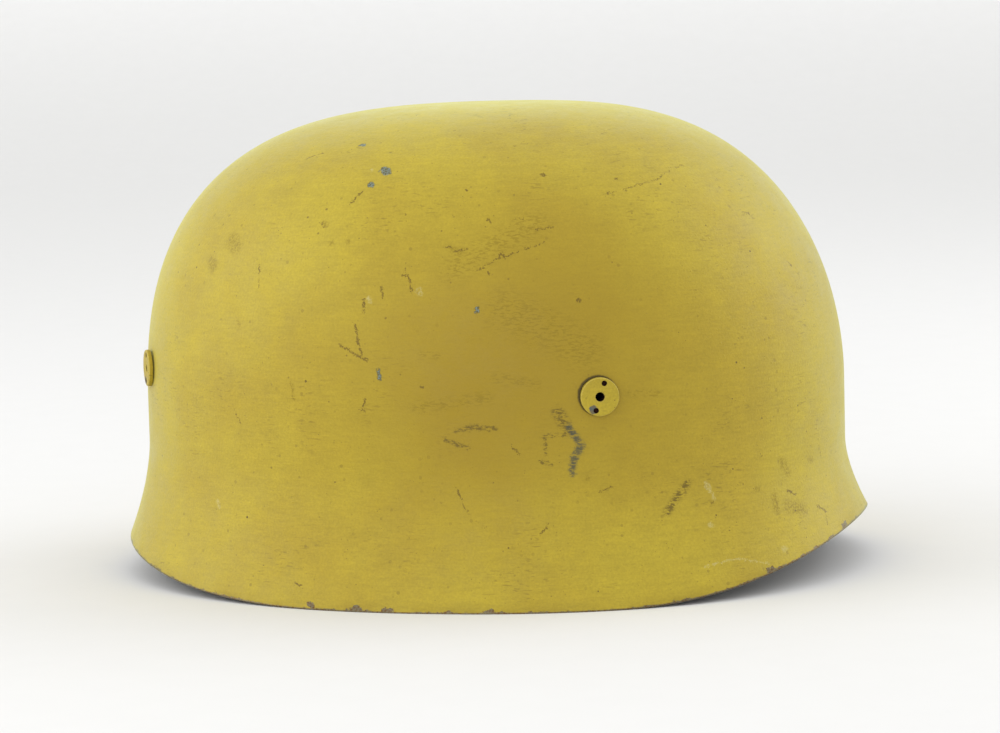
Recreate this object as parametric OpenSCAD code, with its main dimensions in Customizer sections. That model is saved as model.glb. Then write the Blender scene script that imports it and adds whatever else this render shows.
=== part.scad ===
// Drawn steel paratrooper helmet that stands on its side rims, with a leather liner on a light metal
// band, four hollow clamping bolts and a leather chin harness tucked up inside.
// Millimetres. The front faces -Y, the wearer's left is +X, and Z points up from the resting surface.

/* [Crown oval, outside, at the waist] */
// Length from the widest line to the front
front_half = 119; // [113:0.5:125]
// Length from the widest line to the rear
rear_half = 125; // [119:0.5:131]
// Full width at the widest line
crown_width = 207; // [198:1:216]
// Squareness of the oval, where 2 is an ellipse
oval_power = 2.14; // [2:0.02:2.3]

/* [Shell] */
// Thickness of the steel sheet
wall = 1.2; // [0.9:0.1:1.6]
// Height of the crown above the resting surface
shell_height = 160.5; // [154:0.5:168]
// Height where the dome ends and the upright side begins
waist_height = 62.5; // [58:0.5:66]
// How far the crown's top lies ahead of the widest line
crown_lean = 4.4; // [0:0.2:8]
// Fullness of the dome's shoulder at the front
shoulder_front = 2.81; // [2.4:0.01:3.2]
// Fullness of the dome's shoulder at the rear
shoulder_rear = 3.25; // [2.8:0.01:3.6]
// Flatness of the dome's top towards the front
top_front = 1.9; // [1.7:0.01:2.3]
// Flatness of the dome's top towards the rear
top_rear = 2.56; // [2.1:0.01:2.8]

/* [Flared skirt] */
// Outward flare of the rim at the front
flare_front = 7.5; // [5:0.1:11]
// Outward flare of the rim at the sides
flare_side = 9.1; // [6:0.1:12]
// Outward flare of the rim at the rear
flare_rear = 7.8; // [5:0.1:11]
// Height where the flare starts at the front
flare_start_front = 41; // [37:0.5:46]
// Height where the flare starts at the rear
flare_start_rear = 45.5; // [40:0.5:50]
// Curve of the flare, where 1 is straight and more keeps it for the edge
flare_power = 1.66; // [1.3:0.02:2.2]
// Rise of the rim above the resting surface at the front
rim_rise_front = 17.9; // [12:0.1:20]
// Rise of the rim above the resting surface at the rear
rim_rise_rear = 13.5; // [8:0.1:18]
// Length of resting rim ahead of the widest line
rim_flat_front = 46; // [30:1:60]
// Length of resting rim behind the widest line
rim_flat_rear = 30; // [20:1:60]
// Curve of the rim's rise
rim_power = 2.6; // [2:0.1:3]

/* [Vented clamping bolts] */
// Place of the front bolts round the oval, in degrees from the front
front_bolt_angle = 64.5; // [58:0.5:68]
// Place of the rear bolts round the oval, in degrees from the front
rear_bolt_angle = 155; // [148:0.5:158]
// Height of the front bolts
front_bolt_height = 68.5; // [66:0.5:72]
// Height of the rear bolts
rear_bolt_height = 72.5; // [68:0.5:74]
// Diameter of the bolt head
head_d = 12.6; // [11:0.1:15]
// Height of the bolt head
head_h = 1.4; // [1.2:0.1:2.4]
// Rounding of the head's outer edge
head_round = 0.4; // [0.2:0.1:0.6]
// Diameter of the shank
shank_d = 7; // [5.5:0.1:8]
// Diameter of the vent bore through the bolt
vent_d = 3; // [2:0.1:4]
// Diameter of each spanner hole
spanner_hole_d = 1.8; // [1.2:0.1:2.4]
// Distance between the two spanner holes
spanner_pitch = 9.2; // [8:0.1:10]
// Depth of the spanner holes
spanner_depth = 1; // [0.6:0.1:1.1]
// Turn of each head, in degrees from upright: front left, front right, rear left, rear right
bolt_turns = [-30, -18, 62, -11]; // [-90:1:90]

/* [Nuts, washers and spacers] */
// Diameter of the nut's flange
nut_flange_d = 12.6; // [11:0.1:14]
// Thickness of the nut's flange
nut_flange_h = 1.3; // [0.8:0.1:2]
// Diameter of the nut's barrel
nut_d = 10.6; // [9.5:0.1:11]
// Full height of the nut
nut_h = 4.4; // [3.6:0.1:5]
// Width of the nut's spanner slot
nut_slot_w = 1.8; // [1.2:0.1:2.4]
// Depth of the nut's spanner slot
nut_slot_depth = 1.6; // [1:0.1:2]
// Diameter of the flat washer
washer_d = 14.6; // [13:0.1:15]
// Thickness of the flat washer
washer_h = 1; // [0.8:0.1:1.2]
// Diameter of the rubber spacer between strap and band
spacer_d = 15; // [13:0.2:17]

/* [Liner band] */
// Space between the shell and the band
liner_gap = 8.2; // [7.6:0.1:9.6]
// Thickness of the band
band_wall = 1.2; // [0.8:0.1:1.6]
// Height of the band's lower edge
band_bottom = 54; // [52:0.5:56]
// Height of the band itself
band_height = 34; // [30:0.5:38]
// Thickness of the foam behind the leather
foam_thick = 5.5; // [5:0.1:7]
// Depth at which the foam stops below the band's top
foam_drop = 2; // [1:0.5:4]
// Height of the rubber pads
pad_height = 22; // [16:0.5:24]
// Space between a pad's end and the middle of the next bolt
pad_end_gap = 13; // [11:0.5:18]
// Space above a side pad's lower end, where a harness leg passes under it
pad_leg_gap = 1; // [0.5:0.1:3]

/* [Leather cap] */
// Thickness of the liner leather
leather = 1.8; // [1.2:0.1:2.2]
// Space between the leather crown and the shell
crown_gap = 14; // [10:0.5:20]
// Fullness of the leather dome
cap_power = 2.3; // [2:0.05:2.6]
// Height of the leather that is folded up outside the band
hem_height = 7; // [6:0.5:8]
// Height over which the leather swells in over the foam's foot
billow_height = 8; // [6:0.5:10]
// Depth at which the leather leaves the foam, below the band's top
cap_foot_drop = 4; // [3:0.5:6]
// Diameter of each ventilation hole
cap_vent_d = 9; // [6:0.5:11]
// Number of ventilation holes in the crown
cap_vents = 12; // [8:1:16]
// Place of the ventilation holes, from 0 at the crown's top to 1 at its foot
cap_vent_place = 0.56; // [0.5:0.01:0.7]
// Number of rivets round the band
rivet_count = 16; // [12:4:16]
// Diameter of a rivet's shank
rivet_d = 2.4; // [2:0.1:3]
// Diameter of a rivet's head
rivet_head_d = 6; // [5:0.1:6.6]
// Height of a rivet's head
rivet_head_h = 1; // [0.7:0.1:1.2]
// Diameter of a rivet's set end, outside the hem
rivet_set_d = 4.8; // [4:0.1:6]
// Height of a rivet's set end
rivet_set_h = 0.8; // [0.5:0.1:1]

/* [Harness] */
// Width of the straps
strap_w = 18; // [14:0.5:19]
// Thickness of the straps
strap_t = 2.2; // [1.8:0.1:2.4]
// Space between the shell and the legs of the harness
leg_gap = 1.2; // [1.1:0.1:1.4]
// Height of the tucked straps' middle line
tuck_height = 30; // [29:0.5:32]
// Place where the legs meet, in degrees from the front
junction_angle = 100; // [94:1:106]
// Gap between strap ends that meet at the junction
end_gap = 1; // [0.6:0.1:2]
// Length of the holed chin strap
long_strap = 230; // [200:5:240]
// Length of the buckle's chin strap, up to the buckle bar
short_strap = 90; // [84:1:100]
// Number of holes in the chin strap
strap_holes = 7; // [4:1:9]
// Diameter of the strap's holes
strap_hole_d = 3.6; // [3:0.1:4]
// Distance from one strap hole to the next
strap_hole_pitch = 12; // [9:0.5:14]
// Distance from the strap's round end to the first hole
strap_hole_margin = 20; // [14:1:30]
// Overlap of the two nape straps, each side of the middle, in degrees
nape_overlap = 11; // [9:0.5:14]
// Length over which the outer nape strap rises on to the inner one
lap_rise = 30; // [20:1:40]
// Length between that rise and the inner strap's end
lap_lead = 4; // [2:0.5:8]
// Diameter of a press stud's cap
stud_d = 9.4; // [8:0.1:11]
// Height of a press stud's cap
stud_cap_h = 1.7; // [1.4:0.1:2.2]
// Diameter of a press stud's post
stud_post_d = 4; // [3:0.1:5]
// Diameter of a press stud's flat inner end
stud_back_d = 7.5; // [6.5:0.1:9]

/* [Buckle] */
// Radius of the buckle's wire
wire_r = 1.3; // [1:0.1:1.5]
// Length of the frame from bar to bar
frame_length = 16; // [14:0.5:20]
// Space above and below the strap inside the frame
frame_play = 1; // [0.6:0.1:2]
// Wall of the roller
roller_wall = 0.9; // [0.6:0.1:1.2]
// Radius of the prong
prong_r = 1.1; // [0.8:0.1:1.3]
// Height of the prong's eye
eye_h = 4.6; // [3.6:0.1:6]
// Wall of the prong's eye
eye_wall = 1.4; // [1:0.1:1.8]
// Length of the strap that is folded back round the bar
return_length = 26; // [22:1:32]
// Length over which the fold closes behind the bar
fold_run = 10; // [8:0.5:14]
// Length of the prong's slot behind the bar
slot_back = 8; // [6:0.5:9]
// Width of the strap keeper
keeper_w = 8; // [6:0.5:10]
// Thickness of the strap keeper
keeper_t = 1.4; // [1:0.1:1.5]
// Space between the keeper's middle and the folded strap's end
keeper_space = 9; // [7:0.5:14]

/* [Fits] */
// Gap between soft or curved pieces that lie on each other
seat_gap = 0.3; // [0.2:0.05:0.35]
// Gap between the rubber pads and the shell
pad_gap = 0.45; // [0.4:0.05:0.6]
// Radial gap of the bolts in the holes they pass
hole_gap = 0.25; // [0.15:0.05:0.4]
// Radial gap of the nut's thread
thread_gap = 0.1; // [0.05:0.01:0.15]
// Radial running gap of the buckle's bars
run_gap = 0.06; // [0.03:0.01:0.1]
// Gap between metal faces that are screwed or riveted together
face_gap = 0.05; // [0.02:0.01:0.08]
// Space round the keeper's strap
keeper_gap = 0.4; // [0.3:0.05:0.6]
// Space round the washer for a spanner, in the leather and the foam
spanner_gap = 1; // [0.5:0.1:2]

/* [Hidden] */
$fn = 48;

// Steps round the shell, round the liner and along each strap
shell_steps = 72;
liner_steps = 48;
// Rings in the shell's dome and skirt, and in the leather dome
dome_rings = 18;
skirt_rings = 7;
cap_rings = 7;
// Crowds the dome's rings towards its top
ring_power = 1.08;
// Curve of the crown's forward lean
lean_power = 1.5;
// Longest step along a strap
strap_step = 7;
// How far a cutter runs past the face it cuts
past = 1;

// Places of the four bolts: front left, front right, rear left, rear right
bolt_angles = [front_bolt_angle, -front_bolt_angle, rear_bolt_angle, -rear_bolt_angle];
bolt_heights = [front_bolt_height, front_bolt_height, rear_bolt_height, rear_bolt_height];

// The oval's middle is moved so that the finished rim is centred on the origin
widest_y = (front_half + flare_front - rear_half - flare_rear) / 2;

// Depths below the shell's outer face, counted inwards
leg_out = wall + leg_gap;
leg_in = leg_out + strap_t;
hoop_out = leg_in + seat_gap;
hoop_in = hoop_out + strap_t;
lap_out = hoop_in + seat_gap;
band_out = wall + liner_gap;
band_in = band_out + band_wall;
foam_out = band_in + seat_gap;
foam_in = foam_out + foam_thick;
cap_out = foam_in + seat_gap;
cap_in = cap_out + leather;
hem_in = band_out - seat_gap;
hem_out = hem_in - leather;
leaf_in = foam_out + leather;

band_top = band_bottom + band_height;
cap_wall_top = band_top - cap_foot_drop;
leaf_top = band_bottom + hem_height;
leaf_step = 1;
billow_top = leaf_top + billow_height;
pad_bottom = leaf_top + 1;
foam_bottom = leaf_top + 2;
foam_top = band_top - foam_drop;
rivet_height = band_bottom + (hem_height - leaf_step) / 2;
cap_top = shell_height - wall - crown_gap;

// A flat face of this radius stands off the wall by the sagitta of the wall's bend at the bolts
function bend_radius(a) =
    norm(oval(a + 2, band_in) - oval(a - 2, band_in)) / (heading(a + 2) - heading(a - 2)) * 180 / PI;
tightest = min(bend_radius(front_bolt_angle), bend_radius(rear_bolt_angle));
function sagitta(r) = r * r / (2 * tightest);

// Bolt stack, counted inwards along each bolt. The shank ends a little inside the nut.
shank_inset = 0.6;
head_seat = -face_gap;
spacer_seat = leg_in + sagitta(spacer_d / 2) + face_gap;
washer_seat = band_in + sagitta(washer_d / 2) + face_gap;
nut_seat = washer_seat + washer_h;
nut_end = nut_seat + nut_h;
shank_end = nut_end - shank_inset;

// Buckle places
bar_in = hoop_in + wire_r + run_gap;
fold_r = wire_r + run_gap + strap_t;
frame_half = strap_w / 2 + frame_play + wire_r;
roller_r = wire_r + run_gap + roller_wall;
prong_lift = asin((roller_r + prong_r + face_gap) / frame_length);

// Plan of the crown oval. Angles are counted from the front towards the wearer's left.
function oval_scale(a) =
    1 / pow(pow(abs(sin(a)), oval_power) + pow(abs(cos(a)), oval_power), 1 / oval_power);
function half_length(a) = cos(a) > 0 ? front_half : rear_half;
function oval_x(a) = crown_width / 2 * sin(a) * oval_scale(a);
function oval_y(a) = -half_length(a) * cos(a) * oval_scale(a);
function signed_pow(v, p) = sign(v) * pow(abs(v), p);
function oval_slope(v, half) = signed_pow(v / half, oval_power - 1) / half;
function unit(v) = v / norm(v);
function normal(a) = unit([oval_slope(oval_x(a), crown_width / 2), oval_slope(oval_y(a), half_length(a))]);
function tangent(a) = let (n = normal(a)) [-n.y, n.x];
function oval(a, depth) = [oval_x(a), oval_y(a)] - depth * normal(a);
function heading(a) = let (n = normal(a)) atan2(n.y, n.x);

// A value that goes from the front's to the rear's round the helmet
function blend(a, front, rear) = (front + rear) / 2 + (front - rear) / 2 * cos(a);
function shoulder(a) = blend(a, shoulder_front, shoulder_rear);
function top_curve(a) = blend(a, top_front, top_rear);
function flare(a) = flare_side * pow(sin(a), 2) + (cos(a) > 0 ? flare_front : flare_rear) * pow(cos(a), 2);
function rise(y, flat, half, full) = full * pow(max(0, y - flat) / (half - flat), rim_power);
function rim_height(a) = oval_y(a) < 0
    ? rise(-oval_y(a), rim_flat_front, front_half, rim_rise_front)
    : rise(oval_y(a), rim_flat_rear, rear_half, rim_rise_rear);

// Places a plan point of the oval at a height
function lift(p, z) = [p.x, p.y + widest_y, z];
function wall_point(a, depth, z) = lift(oval(a, depth), z);

// A point of the domes: t is 0 at the top and 1 at the dome's foot
function dome_angle(t) = 90 * pow(t, ring_power);
function dome_point(a, t, depth, foot, top, side_power, up_power) =
    let (spread = pow(sin(dome_angle(t)), 2 / side_power), up = pow(cos(dome_angle(t)), 2 / up_power))
    lift(oval(a, depth) * spread, foot + (top - foot) * up) - [0, crown_lean * pow(up, lean_power), 0];
function shell_dome(a, t, depth) =
    dome_point(a, t, depth, waist_height, shell_height - depth, shoulder(a), top_curve(a));
function cap_dome(a, t, depth) =
    dome_point(a, t, depth, cap_wall_top, cap_top + cap_out - depth, cap_power, cap_power);

// A point of the flared skirt: t is 0 at the waist and 1 at the rim
function skirt_point(a, t, depth) =
    let (low = rim_height(a), z = waist_height - (waist_height - low) * t,
         start = blend(a, flare_start_front, flare_start_rear),
         bend = pow(max(0, start - z) / (start - low), flare_power))
    wall_point(a, depth - flare(a) * bend, z);

// How far the dome has drawn in from the upright side at a height
function draw_in(a, z) =
    let (up = max(0, z - waist_height) / (shell_height - waist_height),
         spread = pow(1 - pow(up, top_curve(a)), 1 / shoulder(a)))
    (1 - spread) * (oval(a, 0) * normal(a)) + crown_lean * pow(up, lean_power) * normal(a).y;

// Solids from rings of points
function ring_faces(rings, steps, closed) =
    [for (i = [0 : rings - 2], j = [0 : closed ? steps - 1 : steps - 2])
        let (k = (j + 1) % steps, p = i * steps)
        each [[p + j, p + k, p + steps + j], [p + k, p + steps + k, p + steps + j]]];
function flat_list(lists) = [for (l = lists) each l];

// A closed bowl: the rings run from the outer top pole down, round the edge and up to the inner pole
module bowl(outer_pole, rings, inner_pole, steps) {
    n = len(rings);
    last = n * steps;
    polyhedron(
        points = concat(flat_list(rings), [outer_pole, inner_pole]),
        faces = concat(
            ring_faces(n, steps, true),
            [for (j = [0 : steps - 1]) [last, (j + 1) % steps, j]],
            [for (j = [0 : steps - 1]) [last + 1, last - steps + j, last - steps + (j + 1) % steps]]),
        convexity = 8);
}

// A ring with a closed section: each section runs round the piece's own outline
module hoop(sections) {
    n = len(sections);
    m = len(sections[0]);
    polyhedron(points = flat_list(sections), faces = ring_faces_round(n, m), convexity = 8);
}
function ring_faces_round(n, m) =
    [for (i = [0 : n - 1], j = [0 : m - 1])
        let (p = i * m, q = (i + 1) % n * m, k = (j + 1) % m)
        each [[p + j, q + j, p + k], [p + k, q + j, q + k]]];

// An open run of sections, closed by flat ends. The far half of the sides takes the other diagonal, so
// that a strap's two faces crease alike.
module run(sections) {
    n = len(sections);
    m = len(sections[0]);
    last = (n - 1) * m;
    polyhedron(
        points = flat_list(sections),
        faces = concat(
            [for (i = [0 : n - 2], j = [0 : m - 1])
                let (a = i * m + j, b = a + m, d = i * m + (j + 1) % m, c = d + m)
                each (j < m / 2 ? [[a, b, d], [d, b, c]] : [[a, b, c], [a, c, d]])],
            [for (j = [1 : m - 2]) [0, j, j + 1]],
            [for (j = [1 : m - 2]) [last, last + j + 1, last + j]]),
        convexity = 8);
}

// Puts a child at a depth in the wall, with its Z axis pointing straight out of the helmet
module at_wall(a, depth, z) {
    translate(wall_point(a, depth, z)) rotate([0, 0, heading(a)]) rotate([0, 90, 0]) children();
}

// Puts a child at a depth in the wall, with X along the strap and Y towards the head
module along_wall(a, depth, z) {
    translate(wall_point(a, depth, z)) rotate([0, 0, heading(a) + 90]) children();
}

module bolt_hole(i, r, from, to) {
    at_wall(bolt_angles[i], to, bolt_heights[i]) cylinder(r = r, h = to - from);
}

// Shell: one drawn steel sheet, pierced for the four bolts
module shell() {
    angles = [for (j = [0 : shell_steps - 1]) 360 * j / shell_steps];
    function dome_ring(i, depth) = [for (a = angles) shell_dome(a, i / dome_rings, depth)];
    function skirt_ring(i, depth) = [for (a = angles) skirt_point(a, i / skirt_rings, depth)];
    outer = concat([for (i = [1 : dome_rings]) dome_ring(i, 0)],
                   [for (i = [1 : skirt_rings]) skirt_ring(i, 0)]);
    inner = concat([for (i = [skirt_rings : -1 : 1]) skirt_ring(i, wall)],
                   [for (i = [dome_rings : -1 : 1]) dome_ring(i, wall)]);
    color("darkkhaki")
    difference() {
        bowl(shell_dome(0, 0, 0), concat(outer, inner), shell_dome(0, 0, wall), shell_steps);
        for (i = [0 : 3]) bolt_hole(i, shank_d / 2 + hole_gap, -4 * past, wall + 4 * past);
    }
}

// Hollow bolt with a round-edged head and two spanner holes. Local zero is the head's underside.
module vent_bolt(i) {
    r = head_d / 2;
    flat_r = r - head_round;
    low = head_h - head_round;
    edge = [for (b = [0 : 15 : 90]) [flat_r + head_round * cos(b), low + head_round * sin(b)]];
    shank_length = shank_end - head_seat;
    color("goldenrod")
    at_wall(bolt_angles[i], head_seat, bolt_heights[i])
    difference() {
        union() {
            rotate_extrude() polygon(concat([[0, 0], [r, 0]], edge, [[0, head_h]]));
            translate([0, 0, -shank_length]) cylinder(d = shank_d, h = shank_length + head_h / 2);
        }
        translate([0, 0, -shank_length - past])
        cylinder(d = vent_d, h = shank_length + head_h + 2 * past);
        for (side = [-1, 1])
            rotate([0, 0, bolt_turns[i]])
            translate([side * spanner_pitch / 2, 0, head_h - spanner_depth])
            cylinder(d = spanner_hole_d, h = spanner_depth + past);
    }
}

// Slotted nut inside the liner. It hangs from its seat on the washer towards the head.
module clamp_nut(i) {
    color("silver")
    at_wall(bolt_angles[i], nut_end, bolt_heights[i])
    difference() {
        union() {
            cylinder(d = nut_d, h = nut_h);
            translate([0, 0, nut_h - nut_flange_h]) cylinder(d = nut_flange_d, h = nut_flange_h);
        }
        translate([0, 0, -past]) cylinder(r = shank_d / 2 + thread_gap, h = nut_h + 2 * past);
        translate([-nut_d, -nut_slot_w / 2, -past]) cube([2 * nut_d, nut_slot_w, nut_slot_depth + past]);
    }
}

module washer(i) {
    color("lightgray")
    at_wall(bolt_angles[i], nut_seat, bolt_heights[i])
    difference() {
        cylinder(d = washer_d, h = washer_h);
        translate([0, 0, -past]) cylinder(r = shank_d / 2 + hole_gap, h = washer_h + 2 * past);
    }
}

// Rubber spacer that clamps the strap's end against the shell
module spacer(i) {
    h = band_out - spacer_seat - face_gap;
    color("dimgray")
    at_wall(bolt_angles[i], spacer_seat + h, bolt_heights[i])
    difference() {
        cylinder(d = spacer_d, h = h);
        translate([0, 0, -past]) cylinder(r = shank_d / 2 + hole_gap, h = h + 2 * past);
    }
}

rivet_angles = [for (i = [0 : rivet_count - 1]) 360 * (i + 0.5) / rivet_count];

module rivet_hole(a, from, to) {
    at_wall(a, to, rivet_height) cylinder(r = rivet_d / 2 + thread_gap, h = to - from);
}

// Light metal band that carries the liner
module liner_band() {
    angles = [for (j = [0 : 2 * liner_steps - 1]) 360 * j / (2 * liner_steps)];
    color("lightsteelblue")
    difference() {
        translate([0, widest_y, band_bottom])
        linear_extrude(height = band_height)
        difference() {
            polygon([for (a = angles) oval(a, band_out)]);
            polygon([for (a = angles) oval(a, band_in)]);
        }
        for (i = [0 : 3]) bolt_hole(i, shank_d / 2 + hole_gap, band_out - 2 * past, band_in + 2 * past);
        for (a = rivet_angles) rivet_hole(a, band_out - 2 * past, band_in + 2 * past);
    }
}

// Foam between the band and the leather, its foot cut to the leather's billow
module foam_ring() {
    angles = [for (j = [0 : liner_steps - 1]) 360 * j / liner_steps];
    sections = [for (a = angles) [
        wall_point(a, foam_out, foam_bottom), wall_point(a, foam_in, billow_top + 1),
        wall_point(a, foam_in, foam_top), wall_point(a, foam_out, foam_top)]];
    color("khaki")
    difference() {
        hoop(sections);
        for (i = [0 : 3]) bolt_hole(i, washer_d / 2 + 2 * spanner_gap, foam_out - past, foam_in + past);
    }
}

// Leather cap: folded up round the band's lower edge, billowed over the foam and domed at the crown
module leather_cap() {
    angles = [for (j = [0 : liner_steps - 1]) 360 * j / liner_steps];
    function dome(i, depth) = [for (a = angles) cap_dome(a, i / cap_rings, depth)];
    function level(depth, z) = [for (a = angles) wall_point(a, depth, z)];
    under = band_bottom - seat_gap;
    billow = (billow_top + leaf_top) / 2;
    rings = concat(
        [for (i = [1 : cap_rings]) dome(i, cap_out)],
        [level(cap_out, billow_top), level((cap_out + foam_out) / 2, billow), level(foam_out, leaf_top),
         level(foam_out, under), level(hem_in, under), level(hem_in, leaf_top), level(hem_out, leaf_top),
         level(hem_out, under - leather / 2), level(hem_in, under - leather),
         level(foam_out, under - leather), level(leaf_in, under - leather / 2),
         level(leaf_in, leaf_top - leaf_step),
         level((cap_in + leaf_in) / 2, billow - leaf_step), level(cap_in, billow_top - leaf_step)],
        [for (i = [cap_rings : -1 : 1]) dome(i, cap_in)]);
    color("saddlebrown")
    difference() {
        bowl(cap_dome(0, 0, cap_out), rings, cap_dome(0, 0, cap_in), liner_steps);
        for (i = [0 : 3])
            bolt_hole(i, washer_d / 2 + spanner_gap, foam_out - seat_gap / 2, cap_in + 2 * past);
        for (a = rivet_angles) rivet_hole(a, hem_out - past, leaf_in + past);
        for (i = [0 : cap_vents - 1]) cap_vent(360 * (i + 0.5) / cap_vents);
    }
}

// One ventilation hole, square to the leather dome
module cap_vent(a) {
    p = cap_dome(a, cap_vent_place, cap_out);
    down = unit(cap_dome(a, cap_vent_place + 0.04, cap_out) - cap_dome(a, cap_vent_place - 0.04, cap_out));
    up = cross([tangent(a).x, tangent(a).y, 0], down);
    out = up * sign(up.z);
    translate(p) rotate([0, acos(out.z), atan2(out.y, out.x)])
    translate([0, 0, -2 * leather]) cylinder(d = cap_vent_d, h = 3 * leather);
}

// Rivets through the leather, the band and the leather's folded hem
module liner_rivets() {
    seat = leaf_in + seat_gap + sagitta(rivet_head_d / 2);
    stem = seat - hem_out + face_gap;
    color("gray")
    for (a = rivet_angles)
        at_wall(a, seat, rivet_height) {
            cylinder(d = rivet_d, h = stem);
            translate([0, 0, -rivet_head_h])
            cylinder(d1 = rivet_head_d - 2 * rivet_head_h, d2 = rivet_head_d, h = rivet_head_h);
            translate([0, 0, stem])
            cylinder(d1 = rivet_set_d, d2 = rivet_set_d - 2 * rivet_set_h, h = rivet_set_h);
        }
}

// Walking along the wall: the angle reached after a distance, and the distance between two angles
function walk(a, way, depth, left) =
    let (step = norm(oval(a + way, depth) - oval(a, depth)))
    left <= step ? a + way * left / step : walk(a + way, way, depth, left - step);
function total(v) = v * [for (x = v) 1];
function distance(a, b, depth) =
    let (step = (b - a) / 60)
    total([for (i = [0 : 59]) norm(oval(a + step * (i + 1), depth) - oval(a + step * i, depth))]);

// Rubber pad between the shell and the band, from one angle to another
module pad(from, to, steps) {
    top = pad_bottom + pad_height;
    function out(a, z) = wall_point(a, wall + pad_gap + draw_in(a, z), z);
    color("darkslategray")
    run([for (i = [0 : steps]) let (a = from + (to - from) * i / steps)
        [out(a, pad_bottom), wall_point(a, band_out - seat_gap, pad_bottom),
         wall_point(a, band_out - seat_gap, top), out(a, top), out(a, (pad_bottom + top) / 2)]]);
}
module pad_front() {
    end = walk(front_bolt_angle, -1, band_out, pad_end_gap);
    pad(-end, end, 16);
}
module pad_rear() {
    end = walk(rear_bolt_angle, 1, band_out, pad_end_gap);
    pad(end, 360 - end, 10);
}

// A side pad starts where the harness leg has passed below it
function leg_drop(i) = bolt_heights[i] - tuck_height;
function leg_reach(i) = distance(abs(bolt_angles[i]), junction_angle, leg_out);
function leg_slope(i) = atan2(leg_drop(i), leg_reach(i));
function leg_clear(i) =
    (bolt_heights[i] + strap_w / 2 / cos(leg_slope(i)) - pad_bottom + pad_leg_gap) / tan(leg_slope(i));
module pad_side(side) {
    from = walk(front_bolt_angle, 1, band_out, leg_clear(0));
    to = walk(rear_bolt_angle, -1, band_out, leg_clear(2));
    pad(side * (side > 0 ? from : to), side * (side > 0 ? to : from), 14);
}

// A strap on the wall. It starts at an angle, runs a length either way round and may change its depth
// between two places on the way. A round end is half a circle, any other end is cut upright.
module strap(from, way, length, z_from, z_to, depths, ramp, round_from, round_to) {
    r = strap_w / 2;
    slope = atan2(z_to - z_from, length);
    cut = r * abs(tan(slope)) + 2;
    arc = [for (b = [5 : 17 : 90]) r - r * cos(b)];
    low = round_from ? r : cut;
    high = length - (round_to ? r : cut);
    count = ceil((high - low) / strap_step);
    places = concat(
        round_from ? arc : [0], [for (i = [0 : count]) low + (high - low) * i / count],
        round_to ? [for (k = [len(arc) - 1 : -1 : 0]) length - arc[k]] : [length]);
    function half_at(s) =
        let (short = round_from && s < r ? r - s : round_to && length - s < r ? r - length + s : 0)
        sqrt(r * r - short * short);
    function upright(s) = (s == 0 && !round_from) || (s == length && !round_to);
    function depth_at(s) =
        depths[0] + (depths[1] - depths[0]) * min(1, max(0, (s - ramp[0]) / (ramp[1] - ramp[0])));
    sections = [for (s = places)
        let (a = walk(from, way, depths[0], s), z = z_from + (z_to - z_from) * s / length,
             d = depth_at(s), t = way * tangent(a),
             across = upright(s) ? [0, 0, r / cos(slope)]
                 : half_at(s) * [-sin(slope) * t.x, -sin(slope) * t.y, cos(slope)])
        [wall_point(a, d, z) + across, wall_point(a, d + strap_t, z) + across,
         wall_point(a, d + strap_t, z) - across, wall_point(a, d, z) - across]];
    run(way < 0 ? sections : [for (k = [len(sections) - 1 : -1 : 0]) sections[k]]);
}

// Harness leg: pierced for its bolt, it slants down to the place where the legs meet
module harness_leg(i) {
    side = sign(bolt_angles[i]);
    way = sign(junction_angle - abs(bolt_angles[i])) * side;
    r = strap_w / 2;
    rise = leg_drop(i) / leg_reach(i);
    length = leg_reach(i) - end_gap / 2 + r;
    start = walk(bolt_angles[i], -way, leg_out, r);
    top = bolt_heights[i] + rise * r;
    color("sienna")
    difference() {
        strap(start, way, length, top, top - rise * length, [leg_out, leg_out], [0, 1], true, false);
        bolt_hole(i, shank_d / 2 + hole_gap, leg_out - past, leg_in + past);
    }
}

// Nape straps: the left one laps over the right one and press studs join them
nape_run = distance(junction_angle, 180, hoop_out);
nape_lap = distance(180 - nape_overlap, 180, hoop_out);
module stud_hole(a) {
    at_wall(a, lap_out + strap_t + past, tuck_height)
    cylinder(d = stud_post_d + 2 * hole_gap, h = 2 * strap_t + seat_gap + 2 * past);
}
stud_angles = [180 - nape_overlap / 2, 180 + nape_overlap / 2];
module nape_strap_left() {
    from = walk(junction_angle, 1, hoop_out, end_gap / 2);
    length = nape_run + nape_lap - end_gap / 2;
    color("sienna")
    difference() {
        strap(from, 1, length, tuck_height, tuck_height, [hoop_out, lap_out],
              [length - 2 * nape_lap - lap_lead - lap_rise, length - 2 * nape_lap - lap_lead], false, true);
        for (a = stud_angles) stud_hole(a);
    }
}
module nape_strap_right() {
    from = walk(-junction_angle, -1, hoop_out, end_gap / 2);
    color("sienna")
    difference() {
        strap(from, -1, nape_run + nape_lap - end_gap / 2, tuck_height, tuck_height,
              [hoop_out, hoop_out], [0, 1], false, true);
        for (a = stud_angles) stud_hole(a);
    }
}

// Press studs: a domed cap outside, a flat eyelet inside and the post between them
module press_studs() {
    r = stud_d / 2;
    edge = stud_cap_h * 0.6;
    back_h = stud_cap_h * 0.6;
    seat = hoop_out - face_gap;
    foot = lap_out + strap_t + sagitta(stud_back_d / 2) + face_gap;
    dome = [for (b = [0 : 15 : 90]) [r - edge + edge * cos(b), stud_cap_h - edge + edge * sin(b)]];
    color("dimgray")
    for (a = stud_angles)
        at_wall(a, seat, tuck_height) {
            rotate_extrude() polygon(concat([[0, 0], [r, 0]], dome, [[0, stud_cap_h]]));
            translate([0, 0, seat - foot]) cylinder(d = stud_post_d, h = foot - seat + stud_cap_h / 2);
            translate([0, 0, seat - foot - back_h]) cylinder(d = stud_back_d, h = back_h);
        }
}

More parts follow.
